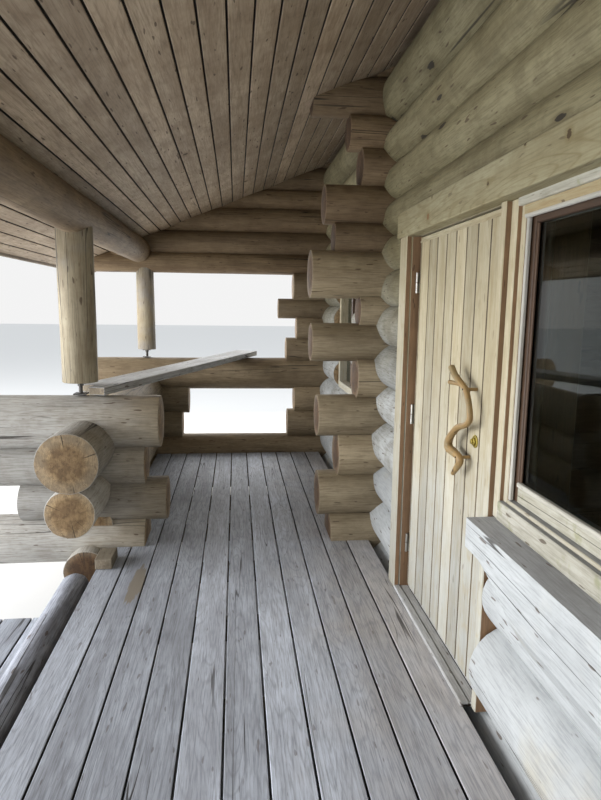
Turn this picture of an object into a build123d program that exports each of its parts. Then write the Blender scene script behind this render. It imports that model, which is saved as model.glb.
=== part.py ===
from build123d import *
import os
from math import atan, cos, degrees, radians, tan

# Round-log cabin with a covered veranda, in millimetres.
# While it is built up, X runs from the veranda to the back wall, Y along the ridge,
# and Z up from the top of the veranda deck. The finished model is moved so that its
# origin lies on the ground in the middle of its plan.

# Plan: the axes of the log walls
FRONT_X = 1055
BACK_X = 5670
RAIL_X = -950
NEAR_Y = -1350
CROSS_Y = 3950
FAR_Y = 6470
GROUND = -450

# Logs: many-sided like scraped logs, each scribed over the one below
LOG_SIDES = 12
PLAIN_SIDES = 8            # of the logs that face away from the veranda
PLAIN_WALLS = ("back_wall", "near_gable_wall", "near_gable_top")
LOG_FULLNESS = 0.59        # radius of a log as a share of the course that it fills
SCRIBE_GAP = 0.3
LOG_END = 350              # how far wall logs run on past a corner
LONG_BASE = -240
LONG_COURSES = [240, 265, 250, 285, 240, 270, 250, 225, 220, 220, 215, 235]
CROSS_BASE = -360
CROSS_COURSES = [240, 280, 275, 270, 255, 250, 225, 190, 270, 190, 225, 230, 195, 225, 210, 210, 210]

# Staggered log ends over the veranda, from the sill up
CROSS_TIPS = [840, 627, 545, 672, 534, 790, 486, 800, 477, 626, 560, 788, 708, 475, 700, 900, 1500]
GABLE_TIPS = [800, 600, 550, 620, 560, 530, 640, 445, 603]
STUB_TIPS = {2: -570, 3: -500}
TIE_TIP = -1560
RAIL_TOP_COURSE = 4
TIE_COURSE = 9
GABLE_RAIL = (838, 172)    # stout top rail at each gable: its axis height and radius

# Rail logs at the entry: axis height, radius and where they end
CORNER_RAILS = [(20, 165, -1650, -594), (280, 147, -1380, -456), (522, 148, -1750, -589),
                (798, 180, -1840, -490)]
SIDE_RAILS = [(-120, 142, 3700), (132, 156, 3840), (360, 147, 3405), (658, 190, 3400)]

# Low logs under the wide window, and the thick one that is sawn flat as a shelf: axis height and radius
LOW_LOGS = [(200, 185), (490, 150)]

# Roof
RIDGE_X = 2400
ROOF_SLOPE = 0.413
EAVE_X = -1688
VERGE = 600                # roof overhang past the gable walls
SOFFIT_BOARD = 20
ROOF_CORE = 160
ROOF_FELT = 8
RIDGE_CAP = 170
BARGE_BOARD = 28
BARGE_DEPTH = 230
PURLIN_R = 130
RIDGE_LOG_R = 150
PLATE_R = 168
PLATE_SINK = 5             # how far the plate log of the front wall is scribed into the wall
PLATE_SEAT = 1.22          # share of the plate log's radius between its axis and the soffit
VERANDA_PURLIN_X = -980
BACK_PURLIN_X = 3730
PURLIN_SEAT = 0.8          # share of a purlin's radius left above its axis

# Veranda deck
DECK_BOARDS = 11
DECK_BOARD = 148
DECK_GAP = 8.6
DECK_LEFT = -830
DECK_THICK = 28
JOIST_HEIGHT = 120
JOIST_WIDE = 48
JOISTS = 12
EDGE_LOG_R = 85
EDGE_LOG_X = -930
EDGE_LOG_Z = -62.7
VERANDA_SILL_X = -885
VERANDA_SILL_R = 110
BEARER = 100
BEARER_X = 770

# Landing in front of the entry side
LANDING_DROP = 200
LANDING_Y = (900, 3300)
LANDING_BOARDS = 7
LANDING_THICK = 32
LANDING_GAP = 0.3

# Door, hung at its far jamb and opening over the deck
LEAF_FACE_X = 945
LEAF_THICK = 42
LEAF_Y = (2082, 3084)
LEAF_Z = (30, 1908)
LEAF_GAP = 8
LEAF_RAIL = 22             # planed rail across the top of the leaf
LEAF_BOARDS = [49, 81, 124, 116, 121, 117, 127, 120, 131]   # uneven board widths from the lock edge
LEAF_GROOVE = 9
HINGE_X = 933
HINGE_HEIGHTS = [270, 990, 1680]
HINGE_LENGTH = 104
HINGE_R = 6.5
HINGE_PLATE = 2.5
KNOB_Y = 2249
KNOB_Z = 1030
KNOB_R = 26
# Points of the branch: stand-off of its middle from the leaf, Y, Z and radius
HANDLE_LINE = [(58, 2401, 1311, 13.7), (56, 2362, 1283, 13.5), (52, 2313, 1260, 13.2),
               (48, 2261, 1237, 12.2), (48, 2227, 1200, 12.1), (50, 2201, 1161, 12.0),
               (50, 2199, 1124, 12.4), (50, 2243, 1097, 12.2), (52, 2309, 1076, 13.4),
               (54, 2361, 1040, 14.9), (54, 2403, 998, 17.3), (52, 2400, 970, 18.6),
               (48, 2349, 962, 17.4), (46, 2296, 954, 15.8), (46, 2286, 936, 14.6),
               (46, 2317, 904, 13.2), (46, 2353, 871, 10.0)]
HANDLE_FORK = [(60, 2406, 1248, 9.6), (57, 2349, 1251, 8.6), (52, 2299, 1251, 9.2)]
HANDLE_PINS = (3, 13)      # points of the branch that a pin fixes to the leaf
HANDLE_PIN_R = 8
HANDLE_SIDES = 6

# Casings and frames, by their front faces
CASING_X = 873
CASING_THICK = 27
FRAME_X = 902
FRAME_BACK_X = 1215
FRAME_THICK = 40
NEAR_FRAME_X = 915
FAR_CASING = 120
NEAR_CASING_X = 935
CASING_WIDE = 46
THRESHOLD_THICK = 20
HEADER_Z = (1916, 2050)
HEADER_Y = (560, 3283)
HEADER_X = 872
OPENING_TOP_COURSE = 9     # long course whose underside closes doors and windows
SHELF_COURSE = 3
SHELF_LOG = (700, 245)     # axis height and radius
SHELF_TOP = 800
SHELF_FACE_X = 832
SHELF_END_Y = 2076
SHELF_RELIEF = [(1640, 590), (1780, 655), (1900, 690)]   # cut under the shelf's end, Y and Z
LOG_OUTER = 110            # depth of wall, from its axis outwards, that the cut under the shelf leaves
LOW_LOG_GAP = 12
WINDOW_Y = (740, 1957)
WINDOW_FRAME = 30
WINDOW_FACE_X = 950
SASH_X = 972
SASH_WIDE = 30
SASH_THICK = 50
GLASS_X = 986
GLASS_THICK = 24

# Windows on the other sides, by their low and high ends along the wall
FAR_WINDOW_Y = (4760, 5660)
BACK_WINDOWS_Y = [(250, 1450), (4800, 5600)]
GABLE_WINDOW_X = (2800, 4000)
BACK_SILL_COURSE = 5
GABLE_SILL_COURSE = 5
WINDOW_GAP = 30
PLAIN_FRAME = 60
PLAIN_DEPTH = 120
INNER_DOOR_X = (3300, 4150)
LINING_THICK = 30
LINING_DEPTH = 300

# Posts, loose pieces and floor
NEAR_POST_R = 113
FAR_POST_R = 92
POST_X = -992
FAR_POST_X = -932
# Posts: where they stand, their radius and the node of the log that each carries
POSTS = [(FAR_POST_X, NEAR_Y, FAR_POST_R, "near_gable_top"), (POST_X, CROSS_Y, NEAR_POST_R, "veranda_purlin"),
         (FAR_POST_X, FAR_Y, FAR_POST_R, "far_gable_top")]
SCREW_FOOT = 80            # height of the levelling screw under a post
SCREW_R = 12
SCREW_SIDES = 8
PLATE_SIDE = 80
PLATE_THICK = 8
PLANK = (240, 2970, 50)
PLANK_START = (-831, 3883)   # its near corner on the side of the deck
PLANK_TURN = -20.9
PLANK_NOTCH = (125, 90)    # cut out of the plank's near end, round the foot of the post
BLOCK = (98, 180, 65)
BLOCK_AT = (-785, 3550)
FLOOR_THICK = 60
FLOOR_TOP = 0
FLOOR_BEAM = 90
PIER = 300

wall_top = LONG_BASE + sum(LONG_COURSES)
plate_height = wall_top - PLATE_SINK + PLATE_R
soffit_at_zero = plate_height + PLATE_SEAT * PLATE_R - ROOF_SLOPE * FRONT_X
log_ends = (NEAR_Y - LOG_END, FAR_Y + LOG_END)
verges = (NEAR_Y - VERGE, FAR_Y + VERGE)
slope = degrees(atan(ROOF_SLOPE))
logs = []
nodes = {}


def put(node, *solids):
    nodes.setdefault(node, []).extend(solids)


def block(x0, x1, y0, y1, z0, z1):
    """A squared piece between two corners."""
    centre = Location(((x0 + x1) / 2, (y0 + y1) / 2, (z0 + z1) / 2))
    return centre * Box(abs(x1 - x0), abs(y1 - y0), abs(z1 - z0))


def soffit(x):
    """Height of the underside of the soffit boards."""
    return soffit_at_zero + ROOF_SLOPE * (RIDGE_X - abs(RIDGE_X - x))


def course(heights, base, k):
    """Axis height and radius of the log in course k."""
    low = base + sum(heights[:k])
    return low + heights[k] / 2, heights[k] * LOG_FULLNESS


def course_low(heights, base, k):
    return base + sum(heights[:k])


def round_log(along, line, height, radius, start, end, sides=LOG_SIDES):
    """A straight many-sided log with a flat on its top and underside."""
    if along == "Y":
        end_face = Plane(origin=(line, start, height), x_dir=(1, 0, 0), z_dir=(0, 1, 0))
    else:
        end_face = Plane(origin=(start, line, height), x_dir=(0, 1, 0), z_dir=(1, 0, 0))
    section = RegularPolygon(radius, sides, major_radius=False, rotation=180 / sides)
    return extrude(end_face * section, end - start)


def lay(node, along, line, height, radius, *spans):
    """Lay one course of a wall; a doorway or window splits it into spans."""
    for start, end in spans:
        logs.append((height, node, along, line, radius, start, end))


def lay_long(node, line, k, *spans):
    lay(node, "Y", line, *course(LONG_COURSES, LONG_BASE, k), *spans)


def lay_cross(node, line, k, *spans):
    lay(node, "X", line, *course(CROSS_COURSES, CROSS_BASE, k), *spans)


def meet(a, b):
    """Whether two logs come near each other, by their outer boxes."""
    for side in range(3):
        low_a, high_a = reach(a)[side]
        low_b, high_b = reach(b)[side]
        if low_a > high_b + SCRIBE_GAP or low_b > high_a + SCRIBE_GAP:
            return False
    return True


def reach(item):
    height, _, along, line, radius, start, end = item
    across = (line - radius, line + radius)
    run = (start, end)
    upright = (height - radius, height + radius)
    return (across, run, upright) if along == "Y" else (run, across, upright)


# Front wall: courses split at the door, the wide window and the far window
openings = []


def opening(along, line, low, high, z0, z1):
    """Clear space for a door or window through a wall; the logs above and below are hewn flat to it."""
    through = (line - 400, line + 400)
    openings.append((along, line, block(*through, low, high, z0, z1) if along == "Y"
                     else block(low, high, *through, z0, z1)))


sill_low = course_low(LONG_COURSES, LONG_BASE, 1)
window_low = course_low(LONG_COURSES, LONG_BASE, SHELF_COURSE + 1)
opening_top = course_low(LONG_COURSES, LONG_BASE, OPENING_TOP_COURSE)
door_far = LEAF_Y[1] + LEAF_GAP + FRAME_THICK
door_near = LEAF_Y[0] - LEAF_GAP - FRAME_THICK
lay_long("front_wall_base", FRONT_X, 0, log_ends)
low_log_end = door_near - LOW_LOG_GAP
for height, radius in LOW_LOGS:
    lay("front_wall_base", "Y", FRONT_X, height, radius, (log_ends[0], low_log_end))
for k in (1, 2):
    lay_long("front_wall_base", FRONT_X, k, (door_far, log_ends[1]))
lay("window_shelf_log", "Y", FRONT_X, *SHELF_LOG, (log_ends[0], SHELF_END_Y))
lay_long("front_wall_far", FRONT_X, SHELF_COURSE, (door_far, log_ends[1]))
for k in range(SHELF_COURSE + 1, OPENING_TOP_COURSE):
    lay_long("front_wall_near", FRONT_X, k, (log_ends[0], WINDOW_Y[0] - WINDOW_FRAME))
    lay_long("front_wall_far", FRONT_X, k, (door_far, FAR_WINDOW_Y[0]), (FAR_WINDOW_Y[1], log_ends[1]))
for k in range(OPENING_TOP_COURSE, len(LONG_COURSES)):
    lay_long("front_wall_top", FRONT_X, k, log_ends)
lay("front_wall_top", "Y", FRONT_X, plate_height, PLATE_R, verges)
window_ends = (WINDOW_Y[0] - WINDOW_FRAME, WINDOW_Y[1] + WINDOW_FRAME)
opening("Y", FRONT_X, low_log_end, door_far, sill_low, opening_top)
opening("Y", FRONT_X, window_ends[0], door_far, SHELF_TOP, opening_top)
opening("Y", FRONT_X, *FAR_WINDOW_Y, window_low, opening_top)
casing_ends = (LEAF_Y[1] + LEAF_GAP, LEAF_Y[1] + LEAF_GAP + FAR_CASING)
header_back = WINDOW_FACE_X - 10
seat = SCRIBE_GAP
for back, y0, y1, z0, z1 in ((CASING_X + CASING_THICK, *casing_ends, sill_low, opening_top),
                             (header_back, *HEADER_Y, *HEADER_Z)):
    openings.append(("Y", FRONT_X, block(CASING_X - 200, back + seat, y0 - seat, y1 + seat, z0, z1 + seat)))

# Back wall, lower, with two windows
back_window_low = course_low(LONG_COURSES, LONG_BASE, BACK_SILL_COURSE)
for k in range(BACK_SILL_COURSE):
    lay_long("back_wall", BACK_X, k, log_ends)
for k in range(BACK_SILL_COURSE, OPENING_TOP_COURSE):
    first, second = BACK_WINDOWS_Y
    lay_long("back_wall", BACK_X, k,
             (log_ends[0], first[0]), (first[1], second[0]), (second[1], log_ends[1]))
lay("back_wall", "Y", BACK_X, soffit(BACK_X) - PURLIN_SEAT * PURLIN_R, PURLIN_R, verges)
for low, high in BACK_WINDOWS_Y:
    opening("Y", BACK_X, low, high, back_window_low, opening_top)

# Cross wall, whose staggered ends stand out over the veranda
inner_low = course_low(CROSS_COURSES, CROSS_BASE, 1)
inner_top = course_low(CROSS_COURSES, CROSS_BASE, TIE_COURSE)
back_tip = BACK_X + LOG_END
for k, tip in enumerate(CROSS_TIPS):
    if 1 <= k < TIE_COURSE:
        lay_cross("cross_wall", CROSS_Y, k, (tip, INNER_DOOR_X[0]), (INNER_DOOR_X[1], back_tip))
    else:
        lay_cross("cross_wall" if k == 0 else "cross_wall_top", CROSS_Y, k, (tip, back_tip))
opening("X", CROSS_Y, *INNER_DOOR_X, inner_low, inner_top)

# Gable walls: their sills, rails and ties run on over the ends of the veranda
gable_window_low = course_low(CROSS_COURSES, CROSS_BASE, GABLE_SILL_COURSE)
for name, line in (("near", NEAR_Y), ("far", FAR_Y)):
    for k in range(len(CROSS_COURSES)):
        tip = GABLE_TIPS[k] if k < TIE_COURSE else TIE_TIP
        split = name == "near" and GABLE_SILL_COURSE <= k < TIE_COURSE
        spans = [(tip, GABLE_WINDOW_X[0]), (GABLE_WINDOW_X[1], back_tip)] if split else [(tip, back_tip)]
        node = f"{name}_gable_wall" if k < TIE_COURSE else f"{name}_gable_top"
        if k in (0, 1, RAIL_TOP_COURSE):
            spans = [(TIE_TIP, back_tip)]
        if k == RAIL_TOP_COURSE:
            lay(node, "X", line, *GABLE_RAIL, *spans)
        else:
            lay_cross(node, line, k, *spans)
    for k, tip in STUB_TIPS.items():
        lay_cross("end_rail_stubs", line, k, (TIE_TIP, tip))
opening("X", NEAR_Y, *GABLE_WINDOW_X, gable_window_low, inner_top)

# Veranda rails: logs along the open side, and short ones that cross them at the entry
for k, (height, radius, tip) in enumerate(SIDE_RAILS):
    lay("side_rail_logs", "Y", RAIL_X, height, radius, (tip, log_ends[1]))
    lay("end_rail_stubs", "Y", RAIL_X, height, radius, (log_ends[0], NEAR_Y + LOG_END + 60 * (k % 2)))
for height, radius, left, right in CORNER_RAILS:
    lay("corner_rail_logs", "X", CROSS_Y, height, radius, (left, right))

# Purlins hewn to the slope of the roof
for node, x, radius in (("veranda_purlin", VERANDA_PURLIN_X, PURLIN_R),
                        ("roof_purlins", RIDGE_X, RIDGE_LOG_R),
                        ("roof_purlins", BACK_PURLIN_X, PURLIN_R)):
    lay(node, "Y", x, soffit(x) - PURLIN_SEAT * radius, radius, verges)

# Scribing: every log is cut to fit over the lower logs that it meets,
# the one under it in its own wall as a long groove and the crossing ones as saddle notches
far_x = 2 * RIDGE_X - EAVE_X
under_roof = extrude(Plane.XZ * make_face(Polyline(
    (EAVE_X, GROUND), (EAVE_X, soffit(EAVE_X) - SCRIBE_GAP), (RIDGE_X, soffit(RIDGE_X) - SCRIBE_GAP),
    (far_x, soffit(far_x) - SCRIBE_GAP), (far_x, GROUND), close=True)), 20000, both=True)
deck_right = DECK_LEFT + DECK_BOARDS * (DECK_BOARD + DECK_GAP) - DECK_GAP
deck_ends = (NEAR_Y + 170, FAR_Y - 170)
deck_space = block(DECK_LEFT - SCRIBE_GAP, deck_right + SCRIBE_GAP, deck_ends[0], deck_ends[1],
                   -DECK_THICK - JOIST_HEIGHT, SCRIBE_GAP)
relief_start, relief_middle, relief_end = SHELF_RELIEF
relief_floor = (relief_end[0] + 200, relief_start[1] - 200)
relief = Polyline(relief_end, (relief_floor[0], relief_end[1]), relief_floor,
                  (relief_start[0], relief_floor[1]), relief_start)
relief += ThreePointArc(relief_start, relief_middle, relief_end)
relief_plane = Plane(origin=(FRONT_X - 300, 0, 0), x_dir=(0, 1, 0), z_dir=(1, 0, 0))
shelf_cuts = [block(FRONT_X - 300, SHELF_FACE_X, *log_ends, 0, SHELF_TOP + 100),
              block(FRAME_X - 2, FRONT_X + 300, low_log_end, SHELF_END_Y, 0, SHELF_TOP + 100),
              extrude(relief_plane * make_face(relief), 300 - LOG_OUTER)]
joist_top = -DECK_THICK
joist_low = joist_top - JOIST_HEIGHT
joist_pitch = (deck_ends[1] - deck_ends[0] - 100) / (JOISTS - 1)
joist_places = [deck_ends[0] + 50 + i * joist_pitch for i in range(JOISTS)]
joist_end = DECK_LEFT - 10


def joist(y, spare=0):
    return block(joist_end - spare, deck_right, y - JOIST_WIDE / 2 - spare, y + JOIST_WIDE / 2 + spare,
                 joist_low - spare, joist_top + spare)


def shape_of(item, spare=0):
    """The round log of one entry of the list, larger by the spare for a cut."""
    height, node, along, line, radius, start, end = item
    sides = PLAIN_SIDES if node in PLAIN_WALLS else LOG_SIDES
    return round_log(along, line, height, radius + spare, start, end, sides)


def scribed(item, others):
    height, node, along, line, radius, start, end = item
    cuts = [shape_of(lower, SCRIBE_GAP) for lower in others if lower[0] < height and meet(item, lower)]
    if along == "X" and line == CROSS_Y and start < deck_right and height - radius < 0:
        cuts.append(deck_space)
    cuts += [space for wall_along, wall_line, space in openings if (along, line) == (wall_along, wall_line)]
    if node == "window_shelf_log":
        cuts += shelf_cuts
    if along == "Y" and line == RAIL_X and height < 0:
        cuts += [joist(y, SCRIBE_GAP) for y in joist_places if start < y < end]
    solid = shape_of(item)
    if height + radius > soffit(EAVE_X):
        solid &= under_roof
    return (solid - cuts if cuts else solid).solids()


for item in logs:
    put(item[1], *scribed(item, logs))


# Posts on levelling screws, coped to the log above them
corner_top = CORNER_RAILS[-1][0] + CORNER_RAILS[-1][1]
gable_rail_top = sum(GABLE_RAIL)


def upright(radius, x, y, low, high, sides=LOG_SIDES):
    """A standing many-sided piece."""
    return extrude(Plane((x, y, low)) * RegularPolygon(radius, sides, major_radius=False), high - low)


for x, y, radius, carried_node in POSTS:
    rail_top = corner_top if y == CROSS_Y else gable_rail_top
    carried = next(item for item in logs if item[1] == carried_node)
    post = upright(radius, x, y, rail_top + SCREW_FOOT, carried[0]) - shape_of(carried, SCRIBE_GAP)
    put("veranda_posts", post.solids().sort_by(Axis.Z)[0])
    screw = upright(SCREW_R, x, y, rail_top, rail_top + SCREW_FOOT, SCREW_SIDES)
    half = PLATE_SIDE / 2
    for z in (rail_top, rail_top + SCREW_FOOT - PLATE_THICK):
        screw += block(x - half, x + half, y - half, y + half, z, z + PLATE_THICK)
    put("post_screws", screw.solids()[0])

# Roof: soffit boards, closed core, covering, ridge cap, barge and eave boards
rise = 1 / cos(radians(slope))


def slope_slab(side, low, high, y0, y1, eave=0):
    """One roof slope between two depths above the soffit, square to the slope."""
    if side == "front":
        foot, top = EAVE_X - eave, RIDGE_X
    else:
        foot, top = far_x + eave, RIDGE_X
    foot_z = soffit_at_zero + ROOF_SLOPE * (EAVE_X - eave)
    top_z = soffit(RIDGE_X)
    outline = Polyline((foot, foot_z + low * rise), (top, top_z + low * rise),
                       (top, top_z + high * rise), (foot, foot_z + high * rise), close=True)
    return extrude(Plane(origin=(0, y0, 0), x_dir=(1, 0, 0), z_dir=(0, -1, 0)) * make_face(outline), y0 - y1)


core_high = SOFFIT_BOARD + ROOF_CORE
for side in ("front", "back"):
    put("soffit_boards", slope_slab(side, 0, SOFFIT_BOARD, *verges))
    put("roof_core", slope_slab(side, SOFFIT_BOARD, core_high, *verges))
    put("roof_felt", slope_slab(side, core_high, core_high + ROOF_FELT, verges[0] - BARGE_BOARD - 12,
                                verges[1] + BARGE_BOARD + 12, BARGE_BOARD + 12))
    for y0, y1 in ((verges[0] - BARGE_BOARD, verges[0]), (verges[1], verges[1] + BARGE_BOARD)):
        put("barge_boards", slope_slab(side, core_high - BARGE_DEPTH, core_high, y0, y1))
    x0, x1 = (EAVE_X - BARGE_BOARD, EAVE_X) if side == "front" else (far_x, far_x + BARGE_BOARD)
    board_low = soffit(EAVE_X) - 20
    eave_board = block(x0, x1, verges[0] - BARGE_BOARD, verges[1] + BARGE_BOARD, board_low, board_low + 400)
    eave_board -= slope_slab(side, core_high, core_high + 400, verges[0] - 100, verges[1] + 100, 100)
    put("eave_boards", eave_board.solids().sort_by(Axis.Z)[0])
cap_low = core_high + ROOF_FELT
cap_ends = (verges[0] - BARGE_BOARD - 12, verges[1] + BARGE_BOARD + 12)
cap = slope_slab("front", cap_low, cap_low + ROOF_FELT, *cap_ends)
cap += slope_slab("back", cap_low, cap_low + ROOF_FELT, *cap_ends)
cap &= block(RIDGE_X - RIDGE_CAP, RIDGE_X + RIDGE_CAP, verges[0] - 100, verges[1] + 100, 3000, 5000)
put("ridge_cap", cap.solids()[0])

# Veranda deck: boards, joists, bearer, edge log and its sill
for i in range(DECK_BOARDS):
    x = DECK_LEFT + i * (DECK_BOARD + DECK_GAP)
    put("deck_boards", block(x, x + DECK_BOARD, *deck_ends, -DECK_THICK, 0))
put("deck_joists", *[joist(y) for y in joist_places])
put("deck_joists", block(BEARER_X - BEARER / 2, BEARER_X + BEARER / 2, deck_ends[0], deck_ends[1] - 2,
                         joist_low - BEARER, joist_low))
entry_ends = (NEAR_Y + LOG_END + 80, min(tip for _, _, tip in SIDE_RAILS) - 10)
put("edge_log", *round_log("Y", EDGE_LOG_X, EDGE_LOG_Z, EDGE_LOG_R, *entry_ends).solids())
sill_log = round_log("Y", VERANDA_SILL_X, joist_low - VERANDA_SILL_R * 0.8, VERANDA_SILL_R, *entry_ends)
sill_log -= block(VERANDA_SILL_X - 200, VERANDA_SILL_X + 200, *entry_ends, joist_low, 100)
put("veranda_sill_log", *sill_log.solids())

# Landing below the entry
landing_top = -LANDING_DROP
landing_right = VERANDA_SILL_X - VERANDA_SILL_R - LANDING_GAP
for i in range(LANDING_BOARDS):
    x = landing_right - i * (DECK_BOARD + DECK_GAP)
    put("entry_landing", block(x - DECK_BOARD, x, *LANDING_Y, landing_top - LANDING_THICK, landing_top))
landing_left = landing_right - LANDING_BOARDS * (DECK_BOARD + DECK_GAP) + DECK_GAP
for y in (LANDING_Y[0] + 60, sum(LANDING_Y) / 2, LANDING_Y[1] - 60):
    put("entry_landing", block(landing_left, landing_right, y - 50, y + 50, GROUND,
                                 landing_top - LANDING_THICK))

# Door leaf, branch handle, knob and hinges
leaf = block(LEAF_FACE_X, LEAF_FACE_X + LEAF_THICK, *LEAF_Y, *LEAF_Z)
leaf_top = LEAF_Z[1] - LEAF_RAIL
grooves = [LEAF_Y[0] + sum(LEAF_BOARDS[:i]) for i in range(1, len(LEAF_BOARDS) + 1)]
vee = extrude(Rectangle(LEAF_GROOVE, LEAF_GROOVE, rotation=45), leaf_top - LEAF_Z[0])
leaf -= [Location((LEAF_FACE_X, y, LEAF_Z[0])) * vee for y in grooves]
leaf -= block(LEAF_FACE_X, LEAF_FACE_X + 3, *LEAF_Y, leaf_top - 6, leaf_top)
put("door_leaf", leaf.solids()[0])


def branch(points):
    """A bent branch through points given by stand-off, Y, Z and radius."""
    centres = [Vector(LEAF_FACE_X - off, y, z) for off, y, z, _ in points]
    sections = []
    for i, (centre, point) in enumerate(zip(centres, points)):
        along = centres[min(i + 1, len(centres) - 1)] - centres[max(i - 1, 0)]
        sections.append(Plane(centre, x_dir=(1, 0, 0), z_dir=along) * RegularPolygon(point[3], HANDLE_SIDES))
    return loft(sections, ruled=True)


def stud(radius, y, z, reach, sides):
    """A many-sided stud that stands out from the face of the leaf."""
    section = Plane((LEAF_FACE_X - SCRIBE_GAP, y, z), z_dir=(-1, 0, 0)) * RegularPolygon(radius, sides)
    return extrude(section, reach)


handle = branch(HANDLE_LINE) + branch(HANDLE_FORK)
for off, y, z, _ in (HANDLE_LINE[i] for i in HANDLE_PINS):
    handle += stud(HANDLE_PIN_R, y, z, off, HANDLE_SIDES)
put("door_handle", handle.solids().sort_by(SortBy.VOLUME)[-1])
knob = stud(KNOB_R, KNOB_Y, KNOB_Z, 4, LOG_SIDES) + stud(KNOB_R / 2, KNOB_Y, KNOB_Z, 20, LOG_SIDES)
put("door_knob", knob.solids()[0])

hinge_y = LEAF_Y[1] + LEAF_GAP - HINGE_R - 0.3
jamb_plate = (LEAF_Y[1] + LEAF_GAP - HINGE_PLATE - 0.1, LEAF_Y[1] + LEAF_GAP - 0.1)
leaf_plate = (LEAF_Y[1] + 0.1, LEAF_Y[1] + 0.1 + HINGE_PLATE / 2)
for z in HINGE_HEIGHTS:
    for node, plate, low, high in (("hinge_jamb_halves", jamb_plate, z - HINGE_LENGTH / 2, z - 2),
                                   ("hinge_leaf_halves", leaf_plate, z + 2, z + HINGE_LENGTH / 2)):
        hinge = Location((HINGE_X, hinge_y, (low + high) / 2)) * Cylinder(HINGE_R, high - low)
        hinge += block(HINGE_X, LEAF_FACE_X + 30, *plate, low, high)
        put(node, hinge.solids()[0])

# Door frame, casings, header and threshold
frame_low = sill_low + THRESHOLD_THICK
frame_head = LEAF_Z[1] + LEAF_GAP
jamb_ends = (door_near + FRAME_THICK, door_far - FRAME_THICK)
jamb_z = (sill_low + 0.3, HEADER_Z[0] - 0.3)
put("door_frame", block(NEAR_FRAME_X, FRAME_BACK_X, door_near, jamb_ends[0], *jamb_z))
put("door_frame", block(FRAME_X, FRAME_BACK_X, jamb_ends[1], door_far, *jamb_z))
put("door_frame", block(header_back + 0.3, FRAME_BACK_X, *jamb_ends, frame_head, frame_head + FRAME_THICK))
put("door_casings", block(CASING_X, CASING_X + CASING_THICK, *casing_ends, 0.3, HEADER_Z[0] - 0.3))
put("door_casings", block(NEAR_CASING_X, FRAME_BACK_X, door_near - CASING_WIDE - 0.3, door_near - 0.3,
                          SHELF_TOP + 0.3, HEADER_Z[0] - 0.3))
put("header_board", block(HEADER_X, header_back, *HEADER_Y, *HEADER_Z))
put("threshold", block(HEADER_X, FRAME_BACK_X, *jamb_ends, sill_low + 0.3, frame_low))

# Wide window beside the door
w0, w1 = WINDOW_Y
frame_z = (SHELF_TOP + 0.3, opening_top - WINDOW_GAP)
frame = block(WINDOW_FACE_X, WINDOW_FACE_X + PLAIN_DEPTH, w0 - WINDOW_FRAME, w1 + WINDOW_FRAME, *frame_z)
glass_z = (frame_z[0] + 85, frame_z[1] - 115)
frame -= block(0, 2000, w0, w1, *glass_z)
put("wide_window_frame", frame)
pane = (w0 + SASH_WIDE, w1 - SASH_WIDE, glass_z[0] + SASH_WIDE, glass_z[1] - SASH_WIDE)
put("wide_window_sash", block(SASH_X, SASH_X + SASH_THICK, w0, w1, *glass_z) - block(0, 2000, *pane))
put("wide_window_glass", block(GLASS_X, GLASS_X + GLASS_THICK, *pane))


def plain_window(along, line, low, high, z0, z1, out):
    """A framed pane in a log wall, set on the wall's axis; out points out of doors."""
    face, back = line + out * 80, line + out * 80 - out * PLAIN_DEPTH
    pane = (line + out * 12, line - out * 12)
    inside = (low + PLAIN_FRAME, high - PLAIN_FRAME, z0 + PLAIN_FRAME, z1 - PLAIN_FRAME)

    def panel(a, b, c0, c1, d0, d1):
        return block(a, b, c0, c1, d0, d1) if along == "Y" else block(c0, c1, a, b, d0, d1)
    ring = panel(face, back, low, high, z0, z1) - panel(face + out, back - out, *inside)
    put("small_window_frames", ring)
    put("small_window_glass", panel(*pane, *inside))


plain_window("Y", FRONT_X, *FAR_WINDOW_Y, window_low + 0.3, opening_top - WINDOW_GAP, -1)
for low, high in BACK_WINDOWS_Y:
    plain_window("Y", BACK_X, low, high, back_window_low + 0.3, opening_top - WINDOW_GAP, 1)
plain_window("X", NEAR_Y, *GABLE_WINDOW_X, gable_window_low + 0.3, inner_top - WINDOW_GAP, -1)

# Inner doorway lining
for x in (INNER_DOOR_X[0], INNER_DOOR_X[1] - LINING_THICK):
    put("inner_doorway_lining", block(x, x + LINING_THICK, CROSS_Y - LINING_DEPTH / 2, CROSS_Y + LINING_DEPTH / 2,
                                      FLOOR_TOP, inner_top - WINDOW_GAP))

# Floors of the two rooms on beams
def inner_face(line, heights, base, k, side):
    """Face that a floor reaches along a wall, on the given side of the wall's axis."""
    return line + side * (course(heights, base, k)[1] + SCRIBE_GAP)


room_x = [inner_face(line, LONG_COURSES, LONG_BASE, 1, side) for line, side in ((FRONT_X, 1), (BACK_X, -1))]
room_y = [inner_face(line, CROSS_COURSES, CROSS_BASE, 1, side)
          for line, side in ((NEAR_Y, 1), (CROSS_Y, -1), (CROSS_Y, 1), (FAR_Y, -1))]
for y0, y1 in (room_y[:2], room_y[2:]):
    put("cabin_floor", block(*room_x, y0, y1, FLOOR_TOP - FLOOR_THICK, FLOOR_TOP))
    for x in (room_x[0] + 60, sum(room_x) / 2, room_x[1] - 60):
        put("floor_beams", block(x - FLOOR_BEAM / 2, x + FLOOR_BEAM / 2, y0 + 10, y1 - 10, GROUND,
                                 FLOOR_TOP - FLOOR_THICK))

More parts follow.
